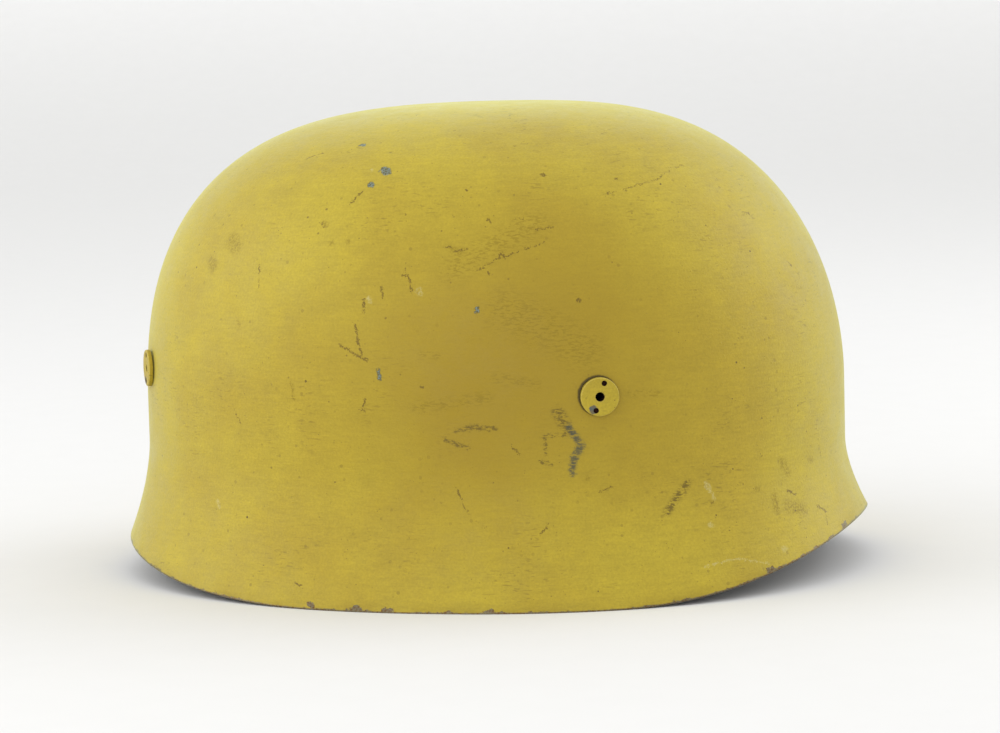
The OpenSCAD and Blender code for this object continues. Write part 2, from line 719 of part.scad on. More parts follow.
// Chin strap with the holes, on the wearer's left. It runs round the front.
module chin_strap_left() {
    from = walk(junction_angle, -1, hoop_out, end_gap / 2);
    color("sienna")
    difference() {
        strap(from, -1, long_strap, tuck_height, tuck_height, [hoop_out, hoop_out], [0, 1], false, true);
        for (i = [0 : strap_holes - 1])
            let (a = walk(from, -1, hoop_out, long_strap - strap_hole_margin - i * strap_hole_pitch))
            at_wall(a, hoop_in + past, tuck_height) cylinder(d = strap_hole_d, h = strap_t + 2 * past);
    }
}

// The buckle's place: the bar stands upright at the end of the short chin strap
short_from = walk(-junction_angle, 1, hoop_out, end_gap / 2);
bar_angle = walk(short_from, 1, hoop_out, short_strap);

// Plan of that strap behind the bar: the place at a distance back from the bar and a depth, and the
// depth of the folded end's outer face there
function behind_bar(s, depth) = oval(walk(bar_angle, -1, hoop_out, s), depth);
function fold_out(s) =
    hoop_in + (bar_in + wire_r + run_gap - hoop_in) * max(0, 1 - s / fold_run);

// Chin strap with the buckle, on the wearer's right. Its end is folded round the bar and slotted
// for the prong.
module chin_strap_right() {
    bar = oval(bar_angle, bar_in);
    steps = ceil(short_strap / strap_step);
    back_steps = ceil(return_length / (strap_step / 2));
    outer = [for (i = [0 : steps]) behind_bar(short_strap * (1 - i / steps), hoop_out)];
    round = [for (b = [15 : 15 : 165])
        bar + fold_r * (cos(b) * normal(bar_angle) + sin(b) * tangent(bar_angle))];
    back = [for (i = [0 : back_steps]) let (s = return_length * i / back_steps)
        behind_bar(s, fold_out(s) + strap_t)];
    inner = [for (i = [0 : steps]) let (s = return_length + (short_strap - return_length) * i / steps)
        behind_bar(s, hoop_in)];
    inside = fold_run - 2 * past;
    play = seat_gap / 2;
    wedge = concat([behind_bar(0, hoop_in + play), behind_bar(0, fold_out(0) - play)],
                   [for (i = [1 : 4]) behind_bar(inside * i / 4, fold_out(inside * i / 4) - play)],
                   [behind_bar(inside, hoop_in)]);
    color("sienna")
    difference() {
        translate([0, widest_y, tuck_height - strap_w / 2])
        linear_extrude(height = strap_w) polygon(concat(outer, round, back, inner));
        translate([0, widest_y, tuck_height - strap_w / 2 - past])
        linear_extrude(height = strap_w + 2 * past) polygon(wedge);
        along_wall(bar_angle, bar_in, tuck_height - strap_w / 2 - past)
        cylinder(r = wire_r + run_gap, h = strap_w + 2 * past);
        along_wall(bar_angle, bar_in, tuck_height)
        translate([-slot_back, -fold_r - past, -eye_h / 2 - seat_gap])
        cube([slot_back + fold_r + past, 2 * fold_r + 3 * past, eye_h + 2 * seat_gap]);
    }
}

// Leather keeper round the short strap, behind the fold
module strap_keeper() {
    a = walk(bar_angle, -1, hoop_out, return_length + keeper_space);
    out = keeper_gap + keeper_t;
    color("sienna")
    along_wall(a, hoop_out, tuck_height)
    difference() {
        translate([-keeper_w / 2, -out, -strap_w / 2 - out])
        cube([keeper_w, strap_t + 2 * out, strap_w + 2 * out]);
        translate([-keeper_w / 2 - past, -keeper_gap, -strap_w / 2 - keeper_gap])
        cube([keeper_w + 2 * past, strap_t + 2 * keeper_gap, strap_w + 2 * keeper_gap]);
    }
}

// Buckle frame of bent wire: the bar in the strap's fold, the roller's bar and two side wires
module buckle_frame() {
    color("slategray")
    along_wall(bar_angle, bar_in, tuck_height) {
        for (x = [0, frame_length]) {
            translate([x, 0, -frame_half]) cylinder(r = wire_r, h = 2 * frame_half);
            for (z = [-frame_half, frame_half]) translate([x, 0, z]) sphere(r = wire_r);
        }
        for (z = [-frame_half, frame_half])
            translate([0, 0, z]) rotate([0, 90, 0]) cylinder(r = wire_r, h = frame_length);
    }
}

// Prong: an eye that turns on the bar and a tongue that rests on the roller
module buckle_prong() {
    reach = frame_length + roller_r + prong_r;
    root = wire_r + run_gap + eye_wall / 2;
    color("slategray")
    along_wall(bar_angle, bar_in, tuck_height)
    difference() {
        union() {
            translate([0, 0, -eye_h / 2]) cylinder(r = wire_r + run_gap + eye_wall, h = eye_h);
            rotate([0, 0, prong_lift]) {
                translate([root, 0, 0]) rotate([0, 90, 0]) cylinder(r = prong_r, h = reach - root);
                translate([reach, 0, 0]) sphere(r = prong_r);
            }
        }
        translate([0, 0, -eye_h]) cylinder(r = wire_r + run_gap, h = 2 * eye_h);
    }
}

// Roller: a tube that turns freely on the frame's far bar
module buckle_roller() {
    half = frame_half - wire_r - seat_gap;
    color("slategray")
    along_wall(bar_angle, bar_in, tuck_height)
    translate([frame_length, 0, -half])
    difference() {
        cylinder(r = roller_r, h = 2 * half);
        translate([0, 0, -past]) cylinder(r = wire_r + run_gap, h = 2 * half + 2 * past);
    }
}

shell();
vent_bolt(0);  // vent_bolt_front_left
vent_bolt(1);  // vent_bolt_front_right
vent_bolt(2);  // vent_bolt_rear_left
vent_bolt(3);  // vent_bolt_rear_right
clamp_nut(0);  // clamp_nut_front_left
clamp_nut(1);  // clamp_nut_front_right
clamp_nut(2);  // clamp_nut_rear_left
clamp_nut(3);  // clamp_nut_rear_right
washer(0);  // washer_front_left
washer(1);  // washer_front_right
washer(2);  // washer_rear_left
washer(3);  // washer_rear_right
spacer(0);  // spacer_front_left
spacer(1);  // spacer_front_right
spacer(2);  // spacer_rear_left
spacer(3);  // spacer_rear_right
liner_band();
foam_ring();
leather_cap();
liner_rivets();
pad_front();
pad_side(1);  // pad_left
pad_side(-1);  // pad_right
pad_rear();
harness_leg(0);  // harness_leg_front_left
harness_leg(1);  // harness_leg_front_right
harness_leg(2);  // harness_leg_rear_left
harness_leg(3);  // harness_leg_rear_right
nape_strap_left();
nape_strap_right();
press_studs();
chin_strap_left();
chin_strap_right();
strap_keeper();
buckle_frame();
buckle_prong();
buckle_roller();
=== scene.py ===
import random
from math import atan2, ceil, copysign, cos, hypot, pi, radians, sin, sqrt, tan, tau

import bpy
from mathutils import Matrix, Vector


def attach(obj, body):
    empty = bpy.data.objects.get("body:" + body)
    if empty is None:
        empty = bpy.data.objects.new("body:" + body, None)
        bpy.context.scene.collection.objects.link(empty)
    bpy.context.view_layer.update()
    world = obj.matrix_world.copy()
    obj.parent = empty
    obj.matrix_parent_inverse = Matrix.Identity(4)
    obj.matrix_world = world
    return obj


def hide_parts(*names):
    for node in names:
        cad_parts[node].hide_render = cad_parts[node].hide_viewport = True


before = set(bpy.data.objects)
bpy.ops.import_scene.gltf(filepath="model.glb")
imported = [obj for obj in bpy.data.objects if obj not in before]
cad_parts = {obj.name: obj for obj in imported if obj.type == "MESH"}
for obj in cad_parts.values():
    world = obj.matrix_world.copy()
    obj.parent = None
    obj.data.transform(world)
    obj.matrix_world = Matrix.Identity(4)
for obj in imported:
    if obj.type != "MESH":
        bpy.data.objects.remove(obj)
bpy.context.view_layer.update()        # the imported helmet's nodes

print("stage 1: helmet frame loaded,", len(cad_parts), "nodes")

mm = 0.001                # lengths below are in millimetres, Blender works in metres
zUp = Vector((0, 0, 1))


# small helpers for working by hand

def objectMode():
    bpy.ops.object.mode_set(mode="OBJECT")


def deselectAll():
    if bpy.context.object and bpy.context.object.mode != "OBJECT":
        objectMode()
    bpy.ops.object.select_all(action="DESELECT")


def pick(piece):
    deselectAll()
    piece.select_set(True)
    bpy.context.view_layer.objects.active = piece


def discard(piece):
    pick(piece)
    bpy.ops.object.delete()


def named(name):
    piece = bpy.context.object
    piece.name = piece.data.name = name
    return piece


def editAll(piece):
    pick(piece)
    bpy.ops.object.mode_set(mode="EDIT")
    bpy.ops.mesh.select_all(action="SELECT")


def useModifier(piece, kind, **settings):
    pick(piece)
    bpy.ops.object.modifier_add(type=kind)
    modifier = piece.modifiers[-1]
    for key, value in settings.items():
        setattr(modifier, key, value)
    bpy.ops.object.modifier_apply(modifier=modifier.name)


def thicken(piece, thickness, even=True, **settings):
    useModifier(piece, "SOLIDIFY", thickness=thickness * mm, offset=-1, use_even_offset=even, **settings)


def bevelEdges(piece, width, segments, angle):
    useModifier(piece, "BEVEL", width=width * mm, segments=segments, limit_method="ANGLE",
                angle_limit=radians(angle))


def copyPiece(source, name, matrix):
    # the copy's place goes into its mesh
    pick(source)
    bpy.ops.object.duplicate(linked=False)
    piece = named(name)
    piece.matrix_world = matrix
    bpy.ops.object.transform_apply(location=True, rotation=True, scale=True)
    return piece


def formSheet(name, columns, rows, place, centre=None, measures=None):
    # a grid whose points are laid on a form, its doubled seam and poles merged
    deselectAll()
    bpy.ops.mesh.primitive_grid_add(x_subdivisions=columns, y_subdivisions=rows, size=1)
    piece = named(name)
    spots = [(round((v.co.x + 0.5) * columns), round((v.co.y + 0.5) * rows)) for v in piece.data.vertices]
    for key, measure in (measures or {}).items():
        attribute = piece.data.attributes.new(key, "FLOAT", "POINT")
        for index, spot in enumerate(spots):
            attribute.data[index].value = measure(*spot)
    for vertex, spot in zip(piece.data.vertices, spots):
        vertex.co = place(*spot) * mm
    editAll(piece)
    bpy.ops.mesh.remove_doubles(threshold=0.00002)
    bpy.ops.mesh.dissolve_degenerate(threshold=0.00001)
    bpy.ops.mesh.select_all(action="SELECT")
    bpy.ops.mesh.normals_make_consistent(inside=False)
    objectMode()
    if centre is not None:
        # an open sheet faces away from a point inside
        facing = (face.area * face.normal.dot(face.center - centre) for face in piece.data.polygons)
        if sum(facing) < 0:
            flip(piece)
    return piece


def flip(piece):
    editAll(piece)
    bpy.ops.mesh.flip_normals()
    objectMode()


def cutWith(piece, cutter, matrix):
    cutter.matrix_world = matrix
    bpy.context.view_layer.update()
    useModifier(piece, "BOOLEAN", operation="DIFFERENCE", solver="EXACT", object=cutter)
    discard(cutter)


def drill(piece, matrix, width, length, sides=32):
    # matrix: Z is the hole's line, its origin the hole's middle
    deselectAll()
    bpy.ops.mesh.primitive_cylinder_add(vertices=sides, radius=width / 2 * mm, depth=length * mm)
    cutWith(piece, named("drillBit"), matrix)


def dress(piece, *materials):
    piece.data.materials.clear()
    for material in materials:
        piece.data.materials.append(material)


def finishPiece(piece, node, angle=50):
    pick(piece)
    bpy.ops.object.shade_smooth_by_angle(angle=radians(angle))
    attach(piece, "helmet")
    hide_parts(node)
    return piece


# the helmet's form: plan oval, dome and flared skirt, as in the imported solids

shellForm = {
    "frontHalf": 119.0, "rearHalf": 125.0, "halfWidth": 103.5, "ovalPower": 2.14, "centreY": -3.15,
    "wall": 1.2, "top": 160.5, "waist": 62.5, "lean": 4.4, "leanPower": 1.5,
    "shoulderFront": 2.81, "shoulderRear": 3.25, "topFront": 1.9, "topRear": 2.56,
    "flareFront": 7.5, "flareSide": 9.1, "flareRear": 7.8, "flareStartFront": 41.0, "flareStartRear": 45.5,
    "flarePower": 1.66, "rimRiseFront": 17.9, "rimRiseRear": 13.5, "rimFlatFront": 46.0,
    "rimFlatRear": 30.0, "rimPower": 2.6,
}


def limit(value, low=0.0, high=1.0):
    return min(high, max(low, value))


def frontToRear(angle, name):
    front, rear = shellForm[name + "Front"], shellForm[name + "Rear"]
    return (front + rear) / 2 + (front - rear) / 2 * cos(angle)


def ovalPoint(angle):
    f = shellForm
    s, c = sin(angle), cos(angle)
    scale = 1 / (abs(s) ** f["ovalPower"] + abs(c) ** f["ovalPower"]) ** (1 / f["ovalPower"])
    half = f["frontHalf"] if c > 0 else f["rearHalf"]
    return Vector((f["halfWidth"] * s * scale, -half * c * scale, 0)), half


def outward(angle):
    point, halfLength = ovalPoint(angle)
    slopes = []
    for value, half in ((point.x, shellForm["halfWidth"]), (point.y, halfLength)):
        slopes.append(copysign(abs(value / half) ** (shellForm["ovalPower"] - 1), value) / half)
    return Vector((*slopes, 0)).normalized()


def alongWall(angle):
    return zUp.cross(outward(angle))


def onOval(point, lean, height):
    return Vector((point.x, point.y + shellForm["centreY"] - lean, height))


def wallPoint(angle, depth, height):
    # depth counts inwards from the shell's outer face
    return onOval(ovalPoint(angle)[0] - outward(angle) * depth, 0, height)


def rimHeight(angle):
    f = shellForm
    y = ovalPoint(angle)[0].y
    end, half = ("Front", f["frontHalf"]) if y < 0 else ("Rear", f["rearHalf"])
    level = f["rimFlat" + end]
    return f["rimRise" + end] * (max(0, abs(y) - level) / (half - level)) ** f["rimPower"]


def skirtPoint(angle, depth, height):
    f = shellForm
    start = frontToRear(angle, "flareStart")
    flare = (f["flareSide"] * sin(angle) ** 2
             + f["flareFront" if cos(angle) > 0 else "flareRear"] * cos(angle) ** 2)
    bend = (max(0, start - height) / (start - rimHeight(angle))) ** f["flarePower"]
    return wallPoint(angle, depth - flare * bend, height)


def domeRing(angle, spread, rise, depth, foot, top):
    # how far out and how far up, both from 0 to 1
    lean = shellForm["lean"] * rise ** shellForm["leanPower"]
    return onOval((ovalPoint(angle)[0] - outward(angle) * depth) * spread, lean, foot + (top - foot) * rise)


def domePoint(angle, turn, depth, foot, top, sidePower, topPower):
    # turn runs from 0 at the top to a quarter circle at the dome's foot
    spread, rise = sin(turn) ** (2 / sidePower), max(0.0, cos(turn)) ** (2 / topPower)
    return domeRing(angle, spread, rise, depth, foot, top)


def domeSpread(angle, rise):
    return max(0.0, 1 - rise ** frontToRear(angle, "top")) ** (1 / frontToRear(angle, "shoulder"))


def shellPoint(angle, height):
    # a point of the shell's outer face from its angle and height
    f = shellForm
    if height <= f["waist"]:
        return skirtPoint(angle, 0, height)
    rise = (height - f["waist"]) / (f["top"] - f["waist"])
    return domeRing(angle, domeSpread(angle, rise), rise, 0, f["waist"], f["top"])


def axes(x, y, z, place):
    # a matrix from its three directions and its origin in millimetres
    return Matrix.Translation(place * mm) @ Matrix((x, y, z)).transposed().to_4x4()


def wallMatrix(angle, depth, height):
    # Z straight out of the helmet, Y up, X along the wall
    return axes(alongWall(angle), zUp, outward(angle), wallPoint(angle, depth, height))


def strapMatrix(angle, depth, height, leaning=0.0):
    # Z towards the head, X along the wall or leaning up from it
    x = alongWall(angle) * cos(leaning) + zUp * sin(leaning)
    return axes(x, (-outward(angle)).cross(x), -outward(angle), wallPoint(angle, depth, height))


def trackAlong(start, way, depth, length):
    # distances walked along the wall, and the angle reached at each
    distances, angles = [0.0], [start]
    while distances[-1] < length + 1:
        angles.append(angles[-1] + way * radians(0.5))
        step = wallPoint(angles[-1], depth, 0) - wallPoint(angles[-2], depth, 0)
        distances.append(distances[-1] + step.length)
    return distances, angles


def angleOn(track, distance):
    distances, angles = track
    k = 1
    while k < len(distances) - 1 and distances[k] < distance:
        k += 1
    part = (distance - distances[k - 1]) / (distances[k] - distances[k - 1])
    return angles[k - 1] + (angles[k] - angles[k - 1]) * part


def walked(start, way, depth, length):
    return angleOn(trackAlong(start, way, depth, length), length)


# depths of the layers in millimetres, counted inwards from the shell's outer face
layer = {"legOut": 2.4, "hoopOut": 4.9, "hoopIn": 7.1, "lapOut": 7.4, "bandOut": 9.4, "foamOut": 10.9,
         "foamIn": 16.4, "capOut": 16.7, "capIn": 18.5, "hemOut": 7.3, "leafIn": 12.7,
         "strap": 2.2, "leather": 1.8}
# each bolt's angle from the front, its height and its head's turn
bolts = {"front_left": (64.5, 68.5, -30), "front_right": (-64.5, 68.5, -18),
         "rear_left": (155, 72.5, 62), "rear_right": (-155, 72.5, -11)}


def drillAtBolts(piece, depth, width, length, sides=32):
    for angle, height, _ in bolts.values():
        drill(piece, wallMatrix(radians(angle), depth, height), width, length, sides)


# camera, at the photograph's view

view = {"turn": -77.665, "tilt": 5.882, "roll": 1.483, "distance": 1255.57, "aim": (0, 0, 75),
        "lens": 128.878, "shiftX": 0.00634, "shiftY": -0.0206}

turn, tilt, roll = (radians(view[key]) for key in ("turn", "tilt", "roll"))
lookDirection = Vector((-sin(turn) * cos(tilt), cos(turn) * cos(tilt), -sin(tilt)))
viewRight = Vector((cos(turn), sin(turn), 0))
viewUp = viewRight.cross(lookDirection)
deselectAll()
bpy.ops.object.camera_add()
camera = named("viewCamera")
camera.matrix_world = axes(viewRight * cos(roll) - viewUp * sin(roll),
                           viewUp * cos(roll) + viewRight * sin(roll),
                           -lookDirection, Vector(view["aim"]) - lookDirection * view["distance"])
camera.data.sensor_width = 36
camera.data.lens = view["lens"]
camera.data.shift_x = view["shiftX"]
camera.data.shift_y = view["shiftY"]
camera.data.clip_end = 50
bpy.context.scene.camera = camera
bpy.context.scene.view_settings.view_transform = "Standard"
print("stage 2: camera placed")


# material building blocks

def feed(sockets, values):
    # each socket takes a link or a value of its own
    for key, value in values.items():
        if isinstance(value, bpy.types.NodeSocket):
            value.id_data.links.new(value, sockets[key])
        else:
            sockets[key].default_value = value


def addNode(kind, inputs, **settings):
    # in the tree of its first linked input
    tree = next(value.id_data for value in inputs.values() if isinstance(value, bpy.types.NodeSocket))
    node = tree.nodes.new("ShaderNode" + kind)
    for key, value in settings.items():
        setattr(node, key, value)
    feed(node.inputs, inputs)
    return node


def calc(operation, a, b=0.0, c=0.0):
    return addNode("Math", {0: a, 1: b, 2: c}, operation=operation).outputs[0]


def times(a, b):
    return calc("MULTIPLY", a, b)


def minus(a, b):
    return calc("SUBTRACT", a, b)


def timesPlus(a, b, c):
    return calc("MULTIPLY_ADD", a, b, c)


def strongest(masks):
    total = masks[0]
    for mask in masks[1:]:
        total = calc("MAXIMUM", total, mask)
    return total


def vectorCalc(operation, inputs, output="Vector"):
    return addNode("VectorMath", inputs, operation=operation).outputs[output]


def clamped(value, low=0.0, high=1.0):
    return addNode("Clamp", {"Value": value, "Min": low, "Max": high}).outputs[0]


def ramp(value, fromLow, fromHigh, toLow=0.0, toHigh=1.0):
    return addNode("MapRange", {"Value": value, 1: fromLow, 2: fromHigh, 3: toLow, 4: toHigh}, clamp=False,
                   interpolation_type="SMOOTHSTEP").outputs["Result"]


def between(low, high, part):
    return timesPlus(part, high - low, low)


def mixColour(factor, a, b):
    return addNode("Mix", {0: factor, 6: a, 7: b}, data_type="RGBA").outputs[2]


def toned(colour, value):
    return addNode("HueSaturation", {"Value": value, "Color": colour}).outputs["Color"]


def noise(vector, scale, detail=2.0, roughness=0.5, distortion=0.0, output="Fac"):
    if isinstance(scale, tuple):      # stretched
        vector, scale = vectorCalc("MULTIPLY", {0: vector, 1: scale}), 1.0
    return addNode("TexNoise", {"Vector": vector, "Scale": scale, "Detail": detail,
                                "Roughness": roughness, "Distortion": distortion}).outputs[output]


def cellsOf(vector, scale, **settings):
    return addNode("TexVoronoi", {"Vector": vector, "Scale": scale}, **settings).outputs


def channels(colour):
    return addNode("SeparateColor", {"Color": colour}).outputs


def bumped(height, distance, strength):
    return addNode("Bump", {"Height": height, "Distance": distance, "Strength": strength}).outputs["Normal"]


def newGroup(name, inputs, outputs):
    group = bpy.data.node_groups.new(name, "ShaderNodeTree")
    for socketName, value in inputs.items():
        kind = {0: "Float", 3: "Vector", 4: "Color"}[len(value) if isinstance(value, tuple) else 0]
        socket = group.interface.new_socket(name=socketName, in_out="INPUT", socket_type="NodeSocket" + kind)
        socket.default_value = value
    for socketName in outputs:
        kind = "Color" if socketName == "Colour" else "Float"
        group.interface.new_socket(name=socketName, in_out="OUTPUT", socket_type="NodeSocket" + kind)
    return group, group.nodes.new("NodeGroupInput").outputs, group.nodes.new("NodeGroupOutput").inputs


def placeGroup(group, inputs):
    return addNode("Group", inputs, node_tree=group).outputs


def newMaterial(name, specular=0.5, **constants):
    # gives the material, its shader's sockets and the place on the object
    material = bpy.data.materials.new(name)
    material.use_nodes = True
    nodes = material.node_tree.nodes
    nodes.clear()
    shader = nodes.new("ShaderNodeBsdfPrincipled")
    feed(nodes.new("ShaderNodeOutputMaterial").inputs, {"Surface": shader.outputs["BSDF"]})
    feed(shader.inputs, {"Specular IOR Level": specular, **constants})
    return material, shader.inputs, nodes.new("ShaderNodeTexCoord").outputs["Object"]


def attributeOf(place, name):
    node = place.id_data.nodes.new("ShaderNodeAttribute")
    node.attribute_name = name
    return node.outputs["Fac"]


def shade(*values):
    # a colour from sRGB values, 0 to 255
    scaled = [v / 255 for v in values]
    return (*(v / 12.92 if v <= 0.04045 else ((v + 0.055) / 1.055) ** 2.4 for v in scaled), 1.0)


# old sheet paint: clouds, faint level streaks, orange peel, small specks and clusters of short dashes
sheetPaint, given, out = newGroup("sheetPaint", {
    "Place": (0, 0, 0), "Main": (0.4, 0.3, 0.05, 1), "Deep": (0.3, 0.2, 0.03, 1),
    "Speck": (0.05, 0.04, 0.02, 1), "Streaks": 1.0, "Specks": 1.0}, ["Colour", "Roughness", "Height"])
place = given["Place"]
cloud = noise(place, 17.0, 3.0, 0.55)
patch = noise(place, 120.0, 4.0, 0.6)
streak = noise(place, (110, 110, 900), 3.0, 0.6)
fineStreak = noise(place, (420, 420, 2300))
peel = noise(place, 1300.0, 2.0, 0.6)
tone = times(minus(streak, 0.5), given["Streaks"])
for part, weight in ((fineStreak, 0.5), (patch, 0.9), (peel, 1.3)):
    tone = timesPlus(minus(part, 0.5), weight, tone)
colour = mixColour(ramp(cloud, 0.34, 0.7, 0.0, 0.75), given["Main"], given["Deep"])
colour = toned(colour, timesPlus(tone, 0.3, 1.0))
# short level dashes where the paint has been brushed against
cluster = noise(place, 38.0, 3.0, 0.6)
dash = times(ramp(noise(place, (330, 330, 1700), 1.0), 0.6, 0.7), ramp(cluster, 0.5, 0.68, 0.12, 1.0))
colour = mixColour(times(dash, times(given["Specks"], 0.4)), colour, given["Speck"])
# round specks, each with its own size and strength
dots = []
for scale, rarest, often, strength in (
        (300.0, 0.35, 0.8, 0.36), (430.0, 0.03, 0.22, 1.0), (900.0, 0.08, 0.4, 0.8)):
    cells = cellsOf(place, scale)
    chance = channels(cells["Color"])
    rare = minus(1.02, times(ramp(patch, 0.42, 0.75, rarest, often), given["Specks"]))
    dot = times(calc("LESS_THAN", cells["Distance"], between(0.06, 0.2, chance["Green"])),
                calc("GREATER_THAN", chance["Red"], rare))
    dots.append(times(dot, between(0.35 * strength, strength, chance["Blue"])))
specks = strongest(dots)
height = timesPlus(fineStreak, 0.35, timesPlus(peel, 0.9, times(streak, given["Streaks"])))
# grit under the paint
grit = cellsOf(place, 650.0)
bump = times(ramp(grit["Distance"], 0.3, 0.0), ramp(channels(grit["Color"])["Red"], 0.7, 0.9))
height = timesPlus(bump, 0.9, height)
feed(out, {"Colour": mixColour(specks, colour, given["Speck"]), "Height": minus(height, times(specks, 0.6)),
           "Roughness": ramp(calc("ADD", patch, times(fineStreak, 0.6)), 0.5, 1.1, 0.38, 0.58)})

# one scratch, scuff or chip: a ragged band between two places, given in millimetres
paintMark, given, out = newGroup("paintMark", {
    "Place": (0, 0, 0), "From": (0, 0, 0), "To": (0, 0, 0), "Width": 1.0, "Soft": 0.4}, ["Mask"])
run = vectorCalc("SUBTRACT", {0: given["To"], 1: given["From"]})
here = vectorCalc("SUBTRACT", {0: given["Place"], 1: given["From"]})
full = calc("MAXIMUM", vectorCalc("DOT_PRODUCT", {0: run, 1: run}, "Value"), 0.0001)
part = clamped(calc("DIVIDE", vectorCalc("DOT_PRODUCT", {0: here, 1: run}, "Value"), full))
gap = vectorCalc("DISTANCE", {0: here, 1: vectorCalc("SCALE", {0: run, "Scale": part})}, "Value")
half = times(given["Width"], 0.5)
feed(out, {"Mask": ramp(gap, half, times(half, minus(1.0, given["Soft"])))})

# old metal: level scratches, dull blotches and fine pits
oldMetal, given, out = newGroup("oldMetal", {
    "Place": (0, 0, 0), "Bright": (0.6, 0.6, 0.6, 1), "Dull": (0.3, 0.3, 0.3, 1), "Tarnish": 0.5},
    ["Colour", "Roughness", "Height"])
place = given["Place"]
scratch = noise(place, (300, 300, 5200), 2.0, 0.6)
dull = times(ramp(noise(place, 260.0, 5.0, 0.62), 0.38, 0.66), given["Tarnish"])
colour = mixColour(dull, given["Bright"], given["Dull"])
feed(out, {"Colour": toned(colour, timesPlus(minus(scratch, 0.5), 0.35, 1.0)),
           "Roughness": ramp(calc("ADD", dull, times(scratch, 0.3)), 0.1, 1.0, 0.28, 0.62),
           "Height": timesPlus(noise(place, 2600.0, 1.0), 0.5, scratch)})

# leather: pebbled grain, creases, darker handled areas and burnished edges
hide, given, out = newGroup("hide", {
    "Place": (0, 0, 0), "Main": (0.3, 0.15, 0.06, 1), "Dark": (0.1, 0.05, 0.02, 1),
    "Grain": 1100.0, "Edge": 0.0}, ["Colour", "Roughness", "Height"])
place = given["Place"]
shift = noise(place, 300.0, output="Color")
moved = vectorCalc("MULTIPLY_ADD", {0: shift, 1: (0.0012, 0.0012, 0.0012), 2: place})
pebble = ramp(cellsOf(moved, given["Grain"], feature="DISTANCE_TO_EDGE")["Distance"], 0.0, 0.22)
crease = noise(place, 75.0, 5.0, 0.68, 0.6)
creaseLine = ramp(calc("ABSOLUTE", minus(crease, 0.5)), 0.0, 0.02)
cloud = noise(place, 28.0, 4.0, 0.6)
colour = given["Main"]
for factor in (ramp(cloud, 0.36, 0.68, 0.0, 0.8), minus(0.5, times(creaseLine, 0.5)),
               times(minus(1.0, pebble), 0.45), times(given["Edge"], 0.85)):
    colour = mixColour(factor, colour, given["Dark"])
rough = ramp(timesPlus(pebble, -0.25, cloud), 0.1, 0.6, 0.4, 0.68)
feed(out, {"Colour": colour, "Roughness": minus(rough, times(given["Edge"], 0.15)),
           "Height": timesPlus(crease, 1.2, timesPlus(creaseLine, 0.8, pebble))})

# sponge rubber: pores, a skin and pale dust
sponge, given, out = newGroup("sponge", {
    "Place": (0, 0, 0), "Main": (0.1, 0.1, 0.1, 1), "Pore": (0.02, 0.02, 0.02, 1), "Size": 700.0},
    ["Colour", "Height"])
place = given["Place"]
pore = ramp(cellsOf(place, given["Size"])["Distance"], 0.12, 0.42)
cloud = noise(place, 90.0, 4.0, 0.6)
colour = mixColour(times(minus(1.0, pore), 0.8), given["Main"], given["Pore"])
feed(out, {"Colour": toned(colour, ramp(cloud, 0.3, 0.7, 0.8, 1.2)), "Height": timesPlus(cloud, 0.6, pore)})


# shell

shellFinish = {
    "paint": (0.425, 0.325, 0.022, 1), "paintDeep": (0.355, 0.25, 0.016, 1),
    # shadow: painted shade for the darker area on the side
    "shadow": (0.30, 0.198, 0.007, 1), "speck": shade(92, 72, 24),
    "primer": shade(116, 130, 124), "chipEdge": shade(84, 80, 48),
    "pale": shade(192, 184, 134), "scratch": (0.14, 0.085, 0.004, 1), "rubbed": (0.13, 0.085, 0.008, 1),
    "slate": shade(72, 72, 56), "smear": (0.215, 0.145, 0.002, 1), "boltShadeAndDirt": shade(58, 48, 14),
    "bolt": (0.375, 0.272, 0.018, 1), "boltEdgeWearAndHighlight": (0.51, 0.41, 0.08, 1), "boltWorn": shade(96, 102, 96),
    "steel": shade(112, 104, 82), "rust": shade(96, 66, 34),
    "inside": shade(104, 112, 108), "insideDeep": shade(82, 90, 88),
    "rimWear": 1.1,       # mm of bare edge above the rim
    "columns": 180, "domeRows": 60, "skirtRows": 26, "edgeRound": 0.3, "boltHole": 7.5,
}

